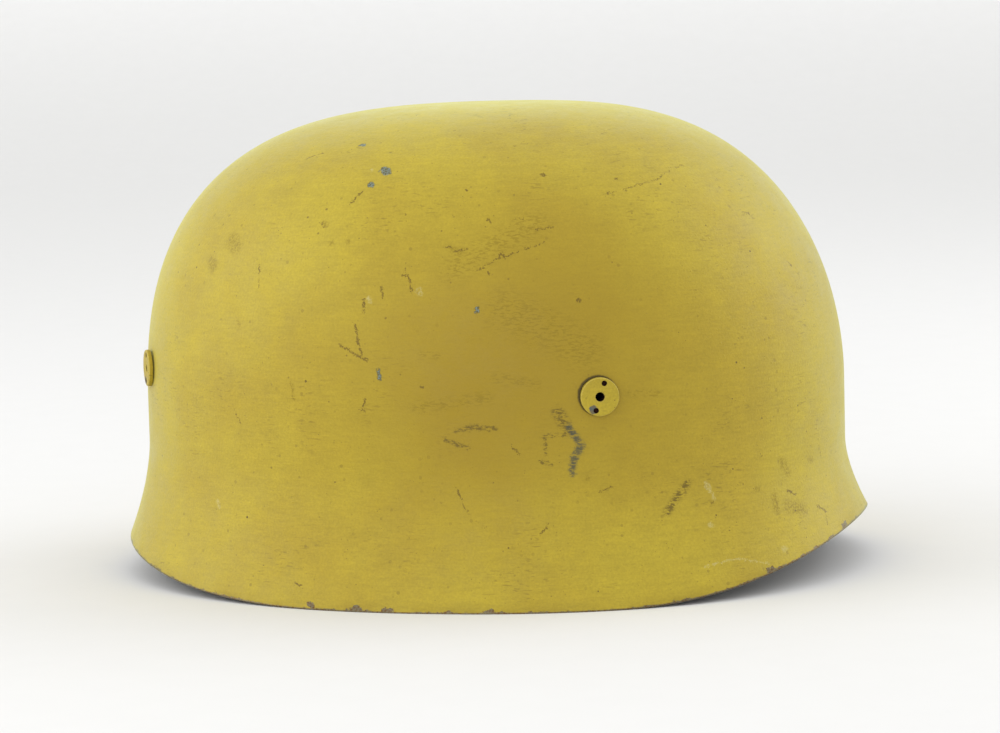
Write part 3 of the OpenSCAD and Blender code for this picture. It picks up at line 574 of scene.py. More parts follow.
# marks read from the photograph: angle from the front and height of both ends, then width in mm
marks = {
    "primer": [(-116.5, 149, -115.8, 149, 1.6), (-106, 141.5, -104.8, 140.5, 2.9),
               (-107, 137, -106.8, 136.5, 1.9), (-83.8, 97.5, -83.8, 96.5, 1.2), (-99, 78, -98.8, 75.5, 1)],
    "dark": [(-109.2, 130.5, -108, 134.5, 0.8), (-128, 144.5, -124.8, 146.5, 0.8),
             (-87.5, 135, -87.2, 135, 1.3), (-77.5, 148, -77.5, 148, 1.3), (-71.8, 139, -71.5, 138.5, 1.7),
             (-56.2, 137, -56, 137, 1.3), (-82.8, 125.5, -82, 124.5, 1), (-80.5, 113.5, -80, 115, 1),
             (-80, 115, -79.5, 113.5, 1), (-79.8, 113.5, -72.5, 118, 0.7), (-84, 109.5, -80.2, 113.5, 0.7),
             (-82.2, 109, -82, 108.5, 1.4), (-90.2, 117, -88.8, 117, 0.8), (-88, 116, -86, 116, 0.8),
             (-98, 128, -95.8, 108, 0.5), (-96.5, 108.5, -95.5, 108.5, 1), (-95.5, 108.5, -94.5, 103, 1),
             (-99.5, 104.5, -99.2, 100.5, 0.9), (-102.2, 100.5, -102, 96.5, 0.9),
             (-67.5, 99.5, -67, 99.5, 1.4), (-78, 125.5, -76, 125.5, 0.7), (-74, 122, -70.8, 122.5, 0.7),
             (-113.5, 124.5, -112.2, 123.5, 0.9), (-60, 132, -53.8, 134, 0.6), (-53.8, 134, -46.5, 136, 0.6),
             (-46.5, 136, -36.2, 140, 0.6), (-26.8, 123.5, -25.8, 123, 1), (-1.5, 151.3, -3.2, 150.7, 1),
             (-19.5, 106.5, -18.8, 105, 1), (-102, 65, -101.2, 64.5, 1), (-92.5, 73, -92, 72.5, 1),
             (-124.8, 64, -123.5, 58.5, 0.5), (-111.8, 8, -111, 7.5, 1), (-87, 39, -85.2, 31, 0.7),
             (-74.2, 24.5, -73, 28, 0.9), (-64.8, 37.5, -62.8, 39, 0.9), (-78.5, 53.5, -77, 50.5, 0.8),
             (-46, 31.5, -46, 31, 1.2), (-29.2, 32, -27.2, 30, 1.1), (-21.8, 25.5, -19.5, 22.5, 1),
             (-20, 21.5, -20.5, 18.5, 0.8), (-103.2, 92.5, -101.8, 83, 1.1), (-105.5, 86, -100.8, 81, 1.1),
             (-101.5, 65, -101, 68.5, 1), (-123, 111, -121.8, 104, 0.7)],
    "scuff": [(-87, 58.5, -84.2, 59.5, 2.8), (-84.2, 59.5, -80.8, 59, 2.5), (-88.8, 55.5, -85.2, 53, 2.4),
              (-71.2, 64, -70, 60, 6.2), (-73.5, 56, -69, 57, 2.1), (-73.2, 56, -73, 51, 2),
              (-73.8, 48, -72.2, 47, 2), (-54, 30, -50.3, 38.5, 4.2)],
    "slate": [(-69.4, 59, -67.6, 53, 3.6), (-67.6, 53, -68.8, 48, 4), (-68.8, 49, -69, 44, 3.8)],
    "smear": [(-132, 118.5, -130.2, 116.5, 9.5), (-135.6, 111.5, -134.2, 109.5, 6.6),
              (-36.8, 34, -36.2, 34, 2.8), (-29.8, 41.5, -28.6, 38, 5), (-32.8, 30.5, -32.8, 26.5, 5.4),
              (-30, 27, -26, 25, 7.4), (-21.8, 40.5, -20.2, 40, 3.2), (-17.2, 43.5, -16.5, 40.5, 2),
              (-112.8, 124.5, -112.2, 124, 3.2), (-88.8, 116.5, -87.2, 115.5, 3.8),
              (-113.5, 73, -113, 68, 1.8), (-125, 92.5, -124.5, 91.5, 2.2), (-110, 118.5, -110, 118.5, 3.4),
              (-107, 119, -107, 119, 3.1), (-66.8, 42, -66.8, 42, 3.1)],
    "pale": [(-128.8, 32.5, -128.2, 30, 1.7), (-46.8, 38, -45.5, 32.5, 1.8),
             (-108.8, 141.5, -108.2, 141, 1.4), (-49, 11.5, -42.8, 13, 1.1), (-42.8, 13, -37, 10, 1.1),
             (-46.8, 24.5, -46.5, 24.5, 2.6), (-33.2, 14, -33, 14, 3.1), (-101.5, 101, -101.2, 100.5, 2.8),
             (-93.5, 103.5, -93.2, 102.5, 2.8)],
    # level strokes too faint for a scuff
    "faint": [(-80.5, 75.5, -74.5, 73, 6.5), (-92.5, 83, -89.5, 82.5, 4), (-59.3, 69, -55, 68, 5),
              (-88, 110, -74, 124, 16), (-79, 97, -67, 84, 24), (-93, 66, -82, 69, 7)],
    # painted shade: the darker, browner area on the side that faces the camera
    "shadow": [(-84, 72, -72, 86, 150)],
    # painted shade and dirt: a dark crescent on the shell at the edge of each front bolt's head, a painted
    # contact shadow where the head stands off the shell
    "boltShadeAndDirt": [(-64.75, 68.85, -64.75, 68.85, 13.9), (64.75, 68.85, 64.75, 68.85, 13.9)],
    "rim": [(-109.2, 2, -108.6, 1.2, 2.2), (-102, 1.2, -101.4, 0.8, 2.4), (-97.5, 0.8, -96.6, 0.6, 2.2),
            (-82.5, 0.6, -81.6, 0.6, 2), (-14.3, 17.3, -15.8, 16.5, 2.2), (-37.5, 8, -36.5, 8.2, 2),
            (-152.5, 9, -150.5, 8, 3.6)],
}


def maskOf(ragged, spots, soft, grow=0.0):
    # the strongest of some marks, each given by both ends and its width
    return strongest([placeGroup(paintMark, {"Place": ragged, "From": start, "To": end, "Width": width + grow,
                                             "Soft": soft})["Mask"] for start, end, width in spots])


def marksOf(ragged, kind, soft, grow=0.0):
    return maskOf(ragged, [(shellPoint(radians(a), low), shellPoint(radians(b), high), width)
                           for a, low, b, high, width in marks[kind]], soft, grow)


def warpedPlace(place, near, far):
    # millimetres, with ragged edges from two sizes of noise
    scaled = vectorCalc("SCALE", {0: place, "Scale": 1000.0})
    for scale, amount in ((620.0, far), (2300.0, near)):
        shift = vectorCalc("SUBTRACT", {0: noise(place, scale, output="Color"), 1: (0.5, 0.5, 0.5)})
        scaled = vectorCalc("MULTIPLY_ADD", {0: shift, 1: (amount, amount, amount), 2: scaled})
    return scaled


# the old matt paint is dusty: it shines paler and greener where it is seen aslant
f = shellFinish
shellPaint, shader, place = newMaterial("shellPaint", 0.3, **{"Sheen Weight": 0.42, "Sheen Roughness": 0.4,
                                                              "Sheen Tint": (0.9, 1.0, 0.45, 1)})
paint = placeGroup(sheetPaint, {"Place": place, "Main": f["paint"], "Deep": f["paintDeep"],
                                "Speck": f["speck"], "Streaks": 0.8, "Specks": 1.0})
ragged = warpedPlace(place, 1.3, 2.2)
breakUp = noise(place, 1500.0, 3.0, 0.7)
hatch = noise(place, (480, 480, 1700), 2.0, 0.7, 0.4)       # breaks scuffs into short level strokes
colour = paint["Colour"]
wearAndShade = {}
# each kind of wear, and the painted shade on the side: its soft edge, what breaks it up, its strength and its
# colour
for kind, soft, broken, strength, tone in (
        ("shadow", 1.0, 1.0, 0.85, "shadow"),
        ("smear", 0.9, ramp(breakUp, 0.45, 0.56, 0.12, 0.75), 1.0, "smear"),
        ("pale", 0.8, ramp(breakUp, 0.38, 0.58, 0.1, 0.8), 0.6, "pale"),
        ("faint", 1.0, ramp(hatch, 0.49, 0.59), 0.6, "smear"),
        ("scuff", 0.85, ramp(hatch, 0.43, 0.54), 0.9, "rubbed"),
        ("slate", 0.8, ramp(hatch, 0.38, 0.52, 0.2), 0.9, "slate"),
        ("dark", 0.5, ramp(breakUp, 0.34, 0.5, 0.25), 0.92, "scratch")):
    wearAndShade[kind] = times(marksOf(ragged, kind, soft), broken)
    colour = mixColour(times(wearAndShade[kind], strength), colour, f[tone])
chip = marksOf(ragged, "primer", 0.15)
colour = mixColour(times(marksOf(ragged, "primer", 0.4, 0.8), 0.8), colour, f["chipEdge"])
colour = mixColour(chip, colour, mixColour(ramp(breakUp, 0.4, 0.6), f["primer"], f["chipEdge"]))
# painted contact shadow, with dirt, round the front bolt heads
colour = mixColour(times(marksOf(warpedPlace(place, 0.2, 0.5), "boltShadeAndDirt", 0.1), 0.9), colour, f["boltShadeAndDirt"])
# the cut edge and nicks above it are bare metal
rimGap = attributeOf(place, "rimGap")
reach = minus(rimGap, times(ramp(noise(place, 210.0, 4.0, 0.7), 0.45, 0.8), f["rimWear"]))
bare = times(ramp(reach, 0.7, 0.25), calc("GREATER_THAN", rimGap, 0.001))
bare = strongest([bare, marksOf(ragged, "rim", 0.2)])
dusty = times(ramp(rimGap, 5.0, 0.5), ramp(noise(place, 60.0, 4.0, 0.65), 0.4, 0.65, 0.0, 0.3))
colour = mixColour(dusty, colour, f["scratch"])
colour = mixColour(bare, colour, mixColour(ramp(breakUp, 0.45, 0.62), f["steel"], f["rust"]))
rough = clamped(timesPlus(strongest([wearAndShade["scuff"], wearAndShade["pale"]]), 0.12, paint["Roughness"]))
feed(shader, {"Base Color": colour, "Roughness": minus(rough, times(bare, 0.1)),
              "Metallic": times(bare, 0.75),
              "Normal": bumped(timesPlus(chip, -0.9, paint["Height"]), 0.00012, 0.6)})


def plainPaint(name, main, deep, rustTone, wear, streaks, spots=()):
    # paint worn off in patches, and round the spots
    material, shader, place = newMaterial(name, 0.3)
    paint = placeGroup(sheetPaint, {"Place": place, "Main": shellFinish[main], "Deep": shellFinish[deep],
                                    "Speck": shellFinish["speck"], "Streaks": streaks, "Specks": 1.5})
    gone = ramp(noise(place, 85.0, 6.0, 0.72), 0.74 - wear, 0.76 - wear)
    if spots:
        gone = strongest([gone, maskOf(warpedPlace(place, 0.6, 1.2), spots, 0.3)])
    metal = mixColour(ramp(noise(place, 700.0, 3.0), 0.42, 0.6), shellFinish["steel"], shellFinish[rustTone])
    feed(shader, {"Base Color": mixColour(gone, paint["Colour"], metal), "Metallic": times(gone, 0.6),
                  "Roughness": calc("ADD", paint["Roughness"], 0.06),
                  "Normal": bumped(timesPlus(gone, -0.9, paint["Height"]), 0.00012, 0.5)})
    return material


def oneGroup(name, group, inputs, distance, strength, specular=0.5, edgeName=None, **constants):
    # a material that one group feeds
    material, shader, place = newMaterial(name, specular, **constants)
    if edgeName:
        gap = attributeOf(place, edgeName)
        inputs["Edge"] = ramp(gap, 1.5, 0.5)
    made = placeGroup(group, {"Place": place, **inputs})
    height = made["Height"]
    if edgeName:
        # a pressed line inside each edge
        height = timesPlus(times(ramp(gap, 1.55, 1.9), ramp(gap, 2.3, 1.95)), -2.2, height)
    feed(shader, {"Base Color": made["Colour"], "Normal": bumped(height, distance, strength)})
    if "Roughness" in made:
        feed(shader, {"Roughness": made["Roughness"]})
    return material


def makeMetal(name, bright, dull, tarnish, metallic=1.0):
    inputs = {"Bright": shade(*bright), "Dull": shade(*dull), "Tarnish": tarnish}
    return oneGroup(name, oldMetal, inputs, 0.00008, 0.4, Metallic=metallic)


def makeLeather(name, main, dark, grain, edgeName=None):
    inputs = {"Main": shade(*main), "Dark": shade(*dark), "Grain": grain}
    return oneGroup(name, hide, inputs, 0.00018, 0.6, 0.38, edgeName)


def makeSoft(name, main, pore, size, roughness):
    inputs = {"Main": shade(*main), "Pore": shade(*pore), "Size": size}
    return oneGroup(name, sponge, inputs, 0.0003, 0.7, 0.25, Roughness=roughness)


boltForm = {"headWidth": 12.6, "headHeight": 1.4, "headRound": 0.4, "shankWidth": 7.0, "ventWidth": 3.0,
            "spannerWidth": 1.8, "spannerPitch": 9.2, "spannerDepth": 1.0, "seat": -0.05, "shankEnd": 15.783,
            "wearWidth": 3.4}


def boltMatrix(corner):
    angle, height, turned = bolts[corner]
    seated = wallMatrix(radians(angle), boltForm["seat"], height)
    return seated @ Matrix.Rotation(radians(turned - 90), 4, "Z")


holeWear = []
for corner in bolts:
    spot = Vector((boltForm["spannerPitch"] / 2, -0.9, boltForm["headHeight"]))
    spot = boltMatrix(corner) @ (spot * mm) / mm
    holeWear.append((spot, spot, boltForm["wearWidth"]))
insidePaint = plainPaint("insidePaint", "inside", "insideDeep", "rust", 0.1, 0.4)
boltPaint = plainPaint("boltPaint", "bolt", "paint", "boltWorn", 0.03, 0.5, holeWear)
# paler paint for the bolt heads' rounded edges: painted highlight, with worn paint
boltEdgeWearAndHighlight = plainPaint("boltEdgeWearAndHighlight", "boltEdgeWearAndHighlight", "bolt", "boltWorn", 0.03, 0.5, holeWear)
rimSteel = makeMetal("rimSteel", (150, 143, 130), (96, 82, 66), 0.8, 0.8)
nutSteel = makeMetal("nutSteel", (150, 148, 142), (96, 86, 74), 0.8)
washerSteel = makeMetal("washerSteel", (160, 158, 152), (104, 96, 84), 0.7)
rivetSteel = makeMetal("rivetSteel", (146, 143, 136), (92, 80, 66), 0.9)
bandAlloy = makeMetal("bandAlloy", (178, 180, 182), (132, 132, 130), 0.7)
studMetal = makeMetal("studMetal", (96, 100, 98), (54, 56, 54), 0.7, 0.7)
buckleMetal = makeMetal("buckleMetal", (104, 108, 106), (60, 62, 60), 0.7, 0.75)
strapLeather = makeLeather("strapLeather", (124, 82, 50), (70, 42, 24), 1500.0, "edgeGap")
capLeather = makeLeather("capLeather", (158, 116, 76), (96, 62, 36), 1100.0)
foamSoft = makeSoft("foamSoft", (190, 166, 118), (110, 88, 52), 900.0, 0.9)
padSoft = makeSoft("padSoft", (52, 52, 50), (18, 18, 18), 1200.0, 0.85)
spacerSoft = makeSoft("spacerSoft", (40, 40, 40), (20, 20, 20), 2400.0, 0.7)
linen = makeSoft("linenThread", (196, 178, 138), (120, 100, 66), 3500.0, 0.9)
holeDirt = makeSoft("holeDirt", (44, 18, 8), (20, 8, 4), 1500.0, 0.9)
print("stage 3: materials made")


def shellGrid(i, j):
    angle = tau * i / shellFinish["columns"]
    f = shellForm
    if j <= shellFinish["domeRows"]:
        return domePoint(angle, pi / 2 * (j / shellFinish["domeRows"]), 0, f["waist"], f["top"],
                         frontToRear(angle, "shoulder"), frontToRear(angle, "top"))
    part = (j - shellFinish["domeRows"]) / shellFinish["skirtRows"]
    return skirtPoint(angle, 0, f["waist"] + (rimHeight(angle) - f["waist"]) * part)


def shellRimGap(i, j):
    return shellGrid(i, j).z - rimHeight(tau * i / shellFinish["columns"])


shell = formSheet("shellSkin", shellFinish["columns"], shellFinish["domeRows"] + shellFinish["skirtRows"],
                  shellGrid, Vector((0, 0, 0.06)), {"rimGap": shellRimGap})
dress(shell, shellPaint, insidePaint, rimSteel)
thicken(shell, shellForm["wall"], material_offset=1, material_offset_rim=2)
bevelEdges(shell, shellFinish["edgeRound"], 3, 60)
for vertex in shell.data.vertices:
    vertex.co.z = max(0.0, vertex.co.z)      # the level part of the rim stands on the floor
drillAtBolts(shell, 0, shellFinish["boltHole"], 12)
finishPiece(shell, "shell", 38)
print("stage 4: shell done")


# vented clamping bolts and spacers

def editFaces(piece, test):
    # edit mode, with only the faces selected that pass the test
    editAll(piece)
    bpy.ops.mesh.select_mode(type="FACE")
    bpy.ops.mesh.select_all(action="DESELECT")
    objectMode()
    for face in piece.data.polygons:
        face.select = test(face)
    bpy.ops.object.mode_set(mode="EDIT")


def inBoltHole(spot):
    f = boltForm
    blind = hypot(abs(spot.x) - f["spannerPitch"] / 2, spot.y) < f["spannerWidth"] / 2 + 0.02
    return spot.z < f["headHeight"] - 0.1 and (blind or hypot(spot.x, spot.y) < f["ventWidth"] / 2 + 0.02)


def makeBolt():
    f = boltForm
    deselectAll()
    bpy.ops.mesh.primitive_cylinder_add(vertices=64, radius=f["headWidth"] / 2 * mm,
                                        depth=f["headHeight"] * mm, location=(0, 0, f["headHeight"] / 2 * mm))
    bolt = named("boltBlank")
    bpy.ops.object.transform_apply(location=True, rotation=True, scale=True)
    dress(bolt, boltPaint, holeDirt, boltEdgeWearAndHighlight)
    editFaces(bolt, lambda face: face.normal.z > 0.9)
    bpy.ops.mesh.bevel(offset=f["headRound"] * mm, offset_type="OFFSET", segments=5, affect="EDGES")
    editFaces(bolt, lambda face: face.normal.z < -0.9)
    bpy.ops.mesh.inset(thickness=(f["headWidth"] - f["shankWidth"]) / 2 * mm)
    shank = (0, 0, (f["seat"] - f["shankEnd"]) * mm)
    bpy.ops.mesh.extrude_region_move(TRANSFORM_OT_translate={"value": shank})
    objectMode()
    drill(bolt, Matrix.Identity(4), f["ventWidth"], 60, 40)
    # the bore is countersunk by 0.3 mm
    deselectAll()
    bpy.ops.mesh.primitive_cone_add(vertices=32, radius1=f["ventWidth"] / 2 * mm,
                                    radius2=(f["ventWidth"] / 2 + 0.6) * mm, depth=0.6 * mm)
    cutWith(bolt, named("countersinkBit"), Matrix.Translation((0, 0, f["headHeight"] * mm)))
    for side in (-1, 1):
        place = Vector((side * f["spannerPitch"] / 2, 0, f["headHeight"])) * mm
        drill(bolt, Matrix.Translation(place), f["spannerWidth"], 2 * f["spannerDepth"], 24)
    for face in bolt.data.polygons:
        if inBoltHole(face.center / mm):
            face.material_index = 1       # old dirt lies in the holes
    bevelEdges(bolt, 0.1, 2, 50)
    for face in bolt.data.polygons:
        if 0.25 < face.normal.z < 0.96:
            face.material_index = 2       # the rounded edge is paler: painted highlight, with worn paint
    return bolt


bolt = makeBolt()
for corner in bolts:
    piece = copyPiece(bolt, "clampBolt_" + corner, boltMatrix(corner))
    finishPiece(piece, "vent_bolt_" + corner, 30)
discard(bolt)

spacerForm = {"width": 15.0, "bore": 7.5, "seat": 5.0, "end": 9.35, "round": 0.7, "bulge": 0.35, "steps": 48}


def spacerProfile():
    # radii and heights round the section
    f = spacerForm
    thick = f["end"] - f["seat"]
    profile = []
    for k in range(9):       # outside, with the rubber pressed out a little
        part = k / 8
        edge = f["round"] * (1 - sqrt(max(0, 1 - (2 * max(0, abs(part - 0.5) - 0.3) / 0.4) ** 2)))
        profile.append((f["width"] / 2 - edge + f["bulge"] * (sin(pi * part) - 1), thick * part))
    return profile + [(f["bore"] / 2, thick), (f["bore"] / 2, thick / 2), (f["bore"] / 2, 0)]


profile = spacerProfile()


def spacerGrid(i, j):
    radius, height = profile[j % len(profile)]
    angle = tau * i / spacerForm["steps"]
    return Vector((radius * cos(angle), radius * sin(angle), height))


spacer = formSheet("spacerBlank", spacerForm["steps"], len(profile), spacerGrid)
dress(spacer, spacerSoft)
for corner, (angle, height, _) in bolts.items():
    piece = copyPiece(spacer, "rubberSpacer_" + corner, wallMatrix(radians(angle), spacerForm["end"], height))
    finishPiece(piece, "spacer_" + corner, 40)
discard(spacer)
print("stage 5: bolts and spacers done")


# liner: foam ring and leather cap

def roundedLoop(corners, radius, steps=4):
    # a closed outline with its corners rounded
    points = []
    for k in range(len(corners)):
        before, here, after = (Vector(corners[(k + n) % len(corners)]) for n in (-1, 0, 1))
        reach = min(radius, (before - here).length / 2.2, (after - here).length / 2.2)
        start = here + (before - here).normalized() * reach
        end = here + (after - here).normalized() * reach
        for n in range(steps + 1):
            part = n / steps
            points.append(start * (1 - part) ** 2 + here * 2 * part * (1 - part) + end * part ** 2)
    return points


foamForm = {"foot": 63.0, "top": 86.0, "billow": 70.0, "round": 1.6, "columns": 120, "holeWidth": 18.6}
foamLoop = roundedLoop([(layer["foamOut"], foamForm["foot"]), (layer["foamIn"], foamForm["billow"]),
                        (layer["foamIn"], foamForm["top"]), (layer["foamOut"], foamForm["top"])],
                       foamForm["round"])


def foamGrid(i, j):
    depth, height = foamLoop[j % len(foamLoop)]
    angle = tau * i / foamForm["columns"]
    uneven = 0.25 * sin(31 * angle + 1) * sin(11 * angle)
    return wallPoint(angle, depth, height + (uneven - 0.25 if height > 80 else 0))


foam = formSheet("foamHoop", foamForm["columns"], len(foamLoop), foamGrid)
drillAtBolts(foam, 14, foamForm["holeWidth"], 12, 40)
dress(foam, foamSoft)
finishPiece(foam, "foam_ring")

capForm = {"columns": 192, "domeRows": 26, "foot": 84.0, "top": 145.3, "power": 2.3, "ringPower": 1.08,
           "billowTop": 68.0, "leafTop": 60.0, "foldHeight": 54.6, "hemTop": 61.0, "foldMiddle": 10.0,
           "foldRound": 2.7, "vents": 12, "ventWidth": 9.0, "ventPlace": 0.56, "nutHole": 16.6,
           "rivets": 16, "pucker": 0.8}
random.seed(11)
capWaves = [(random.randint(9, 60), random.uniform(0, tau), random.uniform(0.3, 1.0)) for _ in range(9)]


def capPucker(angle, height):
    # gathers between the rivets and random creases, always towards the head
    gather = 0.5 - 0.5 * cos(capForm["rivets"] * angle)
    wave = sum(weight * sin(count * angle + phase) for count, phase, weight in capWaves) / 3
    low = limit((height - 56) / 8) * limit((100 - height) / 34)
    return capForm["pucker"] * low * (0.55 * gather * limit((78 - height) / 14) + 0.6 * max(0, wave) ** 1.3)


def capSides():
    # depth and height of the leather's visible face below its dome, round the band's foot and up again
    f = capForm
    rows = [(layer["capIn"], f["foot"] + (f["billowTop"] - f["foot"]) * k / 8) for k in range(1, 9)]
    for k in range(1, 9):
        part = k / 8
        ease = part * part * (3 - 2 * part)
        rows.append((layer["capIn"] + (layer["leafIn"] - layer["capIn"]) * ease,
                     f["billowTop"] + (f["leafTop"] - f["billowTop"]) * part))
    rows += [(layer["leafIn"], f["leafTop"] + (f["foldHeight"] - f["leafTop"]) * k / 4) for k in range(1, 5)]
    for k in range(1, 11):
        bend = pi * k / 10
        rows.append((f["foldMiddle"] + f["foldRound"] * cos(bend),
                     f["foldHeight"] - f["foldRound"] * sin(bend)))
    hem = f["hemTop"] - f["foldHeight"]
    return rows + [(layer["hemOut"], f["foldHeight"] + hem * k / 4) for k in range(1, 5)]


sideRows = capSides()


def capGrid(i, j):
    f = capForm
    angle = tau * i / f["columns"]
    if j > f["domeRows"]:
        depth, height = sideRows[j - f["domeRows"] - 1]
        return wallPoint(angle, depth + (capPucker(angle, height) if depth > 12 else 0), height)
    turn = pi / 2 * (j / f["domeRows"]) ** f["ringPower"]
    point = domePoint(angle, turn, layer["capIn"], f["foot"], f["top"] - layer["leather"],
                      f["power"], f["power"])
    sag = 0.5 * sin(turn) ** 3 * max(0, sin(5 * angle + 1) * sin(9 * angle))
    inwards = capPucker(angle, point.z) * sin(turn) + sag
    return point - (outward(angle) + zUp * cos(turn)) * inwards


def ventMatrix(angle):
    # square to the leather dome
    f = capForm
    turns = (pi / 2 * (f["ventPlace"] + step) ** f["ringPower"] for step in (-0.04, 0, 0.04))
    above, here, below = (domePoint(angle, turn, layer["capOut"], f["foot"], f["top"], f["power"], f["power"])
                          for turn in turns)
    down = (below - above).normalized()
    out = alongWall(angle).cross(down)
    out = out if out.z > 0 else -out
    return axes(down, down.cross(out), out, here)


cap = formSheet("leatherCap", capForm["columns"], capForm["domeRows"] + len(sideRows), capGrid,
                Vector((0, 0, 0.08)))
flip(cap)       # the visible side faces the head
thicken(cap, layer["leather"], False)
for k in range(capForm["vents"]):
    drill(cap, ventMatrix(tau * (k + 0.5) / capForm["vents"]), capForm["ventWidth"], 12, 36)
drillAtBolts(cap, 17, capForm["nutHole"], 14, 40)
bevelEdges(cap, 0.35, 2, 62)
dress(cap, capLeather)
finishPiece(cap, "leather_cap", 45)
print("stage 6: liner done")


# rubber pads between shell and band

padForm = {"foot": 62.0, "height": 22.0, "gap": 0.6, "back": 9.1, "end": 4.0, "columns": 46, "boltGap": 13.0,
           "sideFrom": 33.81, "sideTo": 55.68}
padLoop = roundedLoop([(0, 0), (1, 0), (1, 1), (0, 1)], 0.18, 3)


def drawIn(angle, height):
    # how far the dome has drawn in from the upright side
    f = shellForm
    rise = max(0, height - f["waist"]) / (f["top"] - f["waist"])
    out = outward(angle)
    inwards = (1 - domeSpread(angle, rise)) * ovalPoint(angle)[0].dot(out)
    return inwards + f["lean"] * rise ** f["leanPower"] * out.y


def makePad(name, node, start, end):
    f = padForm

    def place(i, j):
        across, high = padLoop[j % len(padLoop)]
        angle = start + (end - start) * i / f["columns"]
        fromEnd = min(i, f["columns"] - i) / f["columns"] * abs(end - start) * 105
        shrink = sqrt(max(0, 1 - (1 - min(1, fromEnd / f["end"])) ** 2))
        height = f["foot"] + f["height"] * (0.5 + (high - 0.5) * (0.55 + 0.45 * shrink if fromEnd > 0 else 0))
        outer = shellForm["wall"] + f["gap"] + drawIn(angle, height)
        middle = (outer + f["back"]) / 2
        depth = middle + (outer - middle) * (1 - 2 * across) * (shrink if fromEnd > 0 else 0)
        return wallPoint(angle, depth, height)

    pad = formSheet(name, f["columns"], len(padLoop), place)
    dress(pad, padSoft)
    finishPiece(pad, node)


frontBolt, rearBolt = radians(bolts["front_left"][0]), radians(bolts["rear_left"][0])
frontEnd, rearEnd, sideFrom, sideTo = (
    walked(start, way, layer["bandOut"], padForm[length]) for start, way, length in (
        (frontBolt, -1, "boltGap"), (rearBolt, 1, "boltGap"),
        (frontBolt, 1, "sideFrom"), (rearBolt, -1, "sideTo")))
makePad("frontPad", "pad_front", -frontEnd, frontEnd)
makePad("rearPad", "pad_rear", rearEnd, tau - rearEnd)
makePad("leftPad", "pad_left", sideFrom, sideTo)
makePad("rightPad", "pad_right", -sideTo, -sideFrom)
print("stage 7: pads done")


# leather harness

strapForm = {"half": 9.0, "step": 3.0, "rows": 10, "round": 0.5, "endGap": 0.5, "tuck": 30.0,
             "junction": 100.0, "boltHole": 7.5, "studHole": 4.5, "studAngle": 5.5, "hole": 3.6, "holes": 7,
             "holePitch": 12.0, "holeMargin": 20.0, "longLength": 230.0, "shortLength": 90.0,
             "napeRun": 153.186, "napeLap": 19.04, "lapRise": 30.0, "lapLead": 4.0}
stitchForm = {"length": 2.3, "width": 0.62, "high": 0.5, "pitch": 3.0, "seamHalf": 6.2, "above": 0.02}
tuck, junction = strapForm["tuck"], radians(strapForm["junction"])


def makeStrap(name, start, way, length, heights, depths, ramped=(0, 1), roundStart=False):
    # a strap on the wall, round at one end; its outer face lies at the depth, its thickness goes to the head
    half, rows = strapForm["half"], strapForm["rows"]
    track = trackAlong(start, way, depths[0], length)
    slope = atan2(heights[1] - heights[0], length)
    cut = half * abs(tan(slope)) + 2
    columns = ceil(length / strapForm["step"])

    def spot(i, j):
        v = sin(pi * (j / rows - 0.5))
        arc = half - half * sqrt(max(0, 1 - v * v))
        low, high = (arc, length) if roundStart else (0, length - arc)
        return v, low + (high - low) * i / columns

    def place(i, j):
        v, s = spot(i, j)
        s = limit(s, 0, length)
        angle = angleOn(track, s)
        depth = depths[0] + (depths[1] - depths[0]) * limit((s - ramped[0]) / (ramped[1] - ramped[0]))
        slanted = zUp * cos(slope) - alongWall(angle) * (way * sin(slope))
        # the straight end is cut upright
        fromCut = length - s if roundStart else s
        across = slanted.lerp(zUp / cos(slope), max(0, 1 - fromCut / cut))
        height = heights[0] + (heights[1] - heights[0]) * s / length
        return wallPoint(angle, depth + 0.12 * (v * v - 0.4), height) + across * (half * v)

    def edgeGap(i, j):
        v, s = spot(i, j)
        return min(half * (1 - abs(v)), (s if roundStart else length - s) * 0.6)

    strap = formSheet(name, columns, rows, place, Vector((0, 0, 0.03)), {"edgeGap": edgeGap})
    dress(strap, strapLeather, linen)
    thicken(strap, layer["strap"])
    return strap, track


deselectAll()
bpy.ops.mesh.primitive_uv_sphere_add(segments=8, ring_count=5, radius=0.5 * mm)
stitch = named("stitchBlank")
for vertex in stitch.data.vertices:
    # a bowed stitch with sunken ends
    x = vertex.co.x * 2
    vertex.co = Vector((x / 2 * stitchForm["length"], vertex.co.y * stitchForm["width"],
                        vertex.co.z * stitchForm["high"] - (x / mm) ** 2 * 0.1 * mm))
dress(stitch, strapLeather, linen)
for face in stitch.data.polygons:
    face.material_index = 1


def boxSeam(track, low, high, depth):
    # a rectangle of stitches round a joint, on the face towards the head
    half, above = stitchForm["seamHalf"], depth + stitchForm["above"]
    spots = []
    count = round((high - low) / stitchForm["pitch"])
    for k in range(count):
        angle = angleOn(track, low + (high - low) * (k + 0.5) / count)
        spots += [strapMatrix(angle, above, tuck + side * half) for side in (-1, 1)]
    count = round(2 * half / stitchForm["pitch"])
    for k in range(count):
        height = tuck - half + 2 * half * (k + 0.5) / count
        spots += [strapMatrix(angleOn(track, s), above, height, pi / 2) for s in (low, high)]
    return spots


def finishStrap(strap, node, seams=()):
    bevelEdges(strap, strapForm["round"], 3, 60)
    stitches = [copyPiece(stitch, "stitch", spot) for spot in seams]
    if stitches:
        pick(strap)
        for one in stitches:
            one.select_set(True)
        bpy.ops.object.join()
    finishPiece(strap, node)


def fromJunction(side, way):
    return walked(side * junction, way, layer["hoopOut"], strapForm["endGap"])


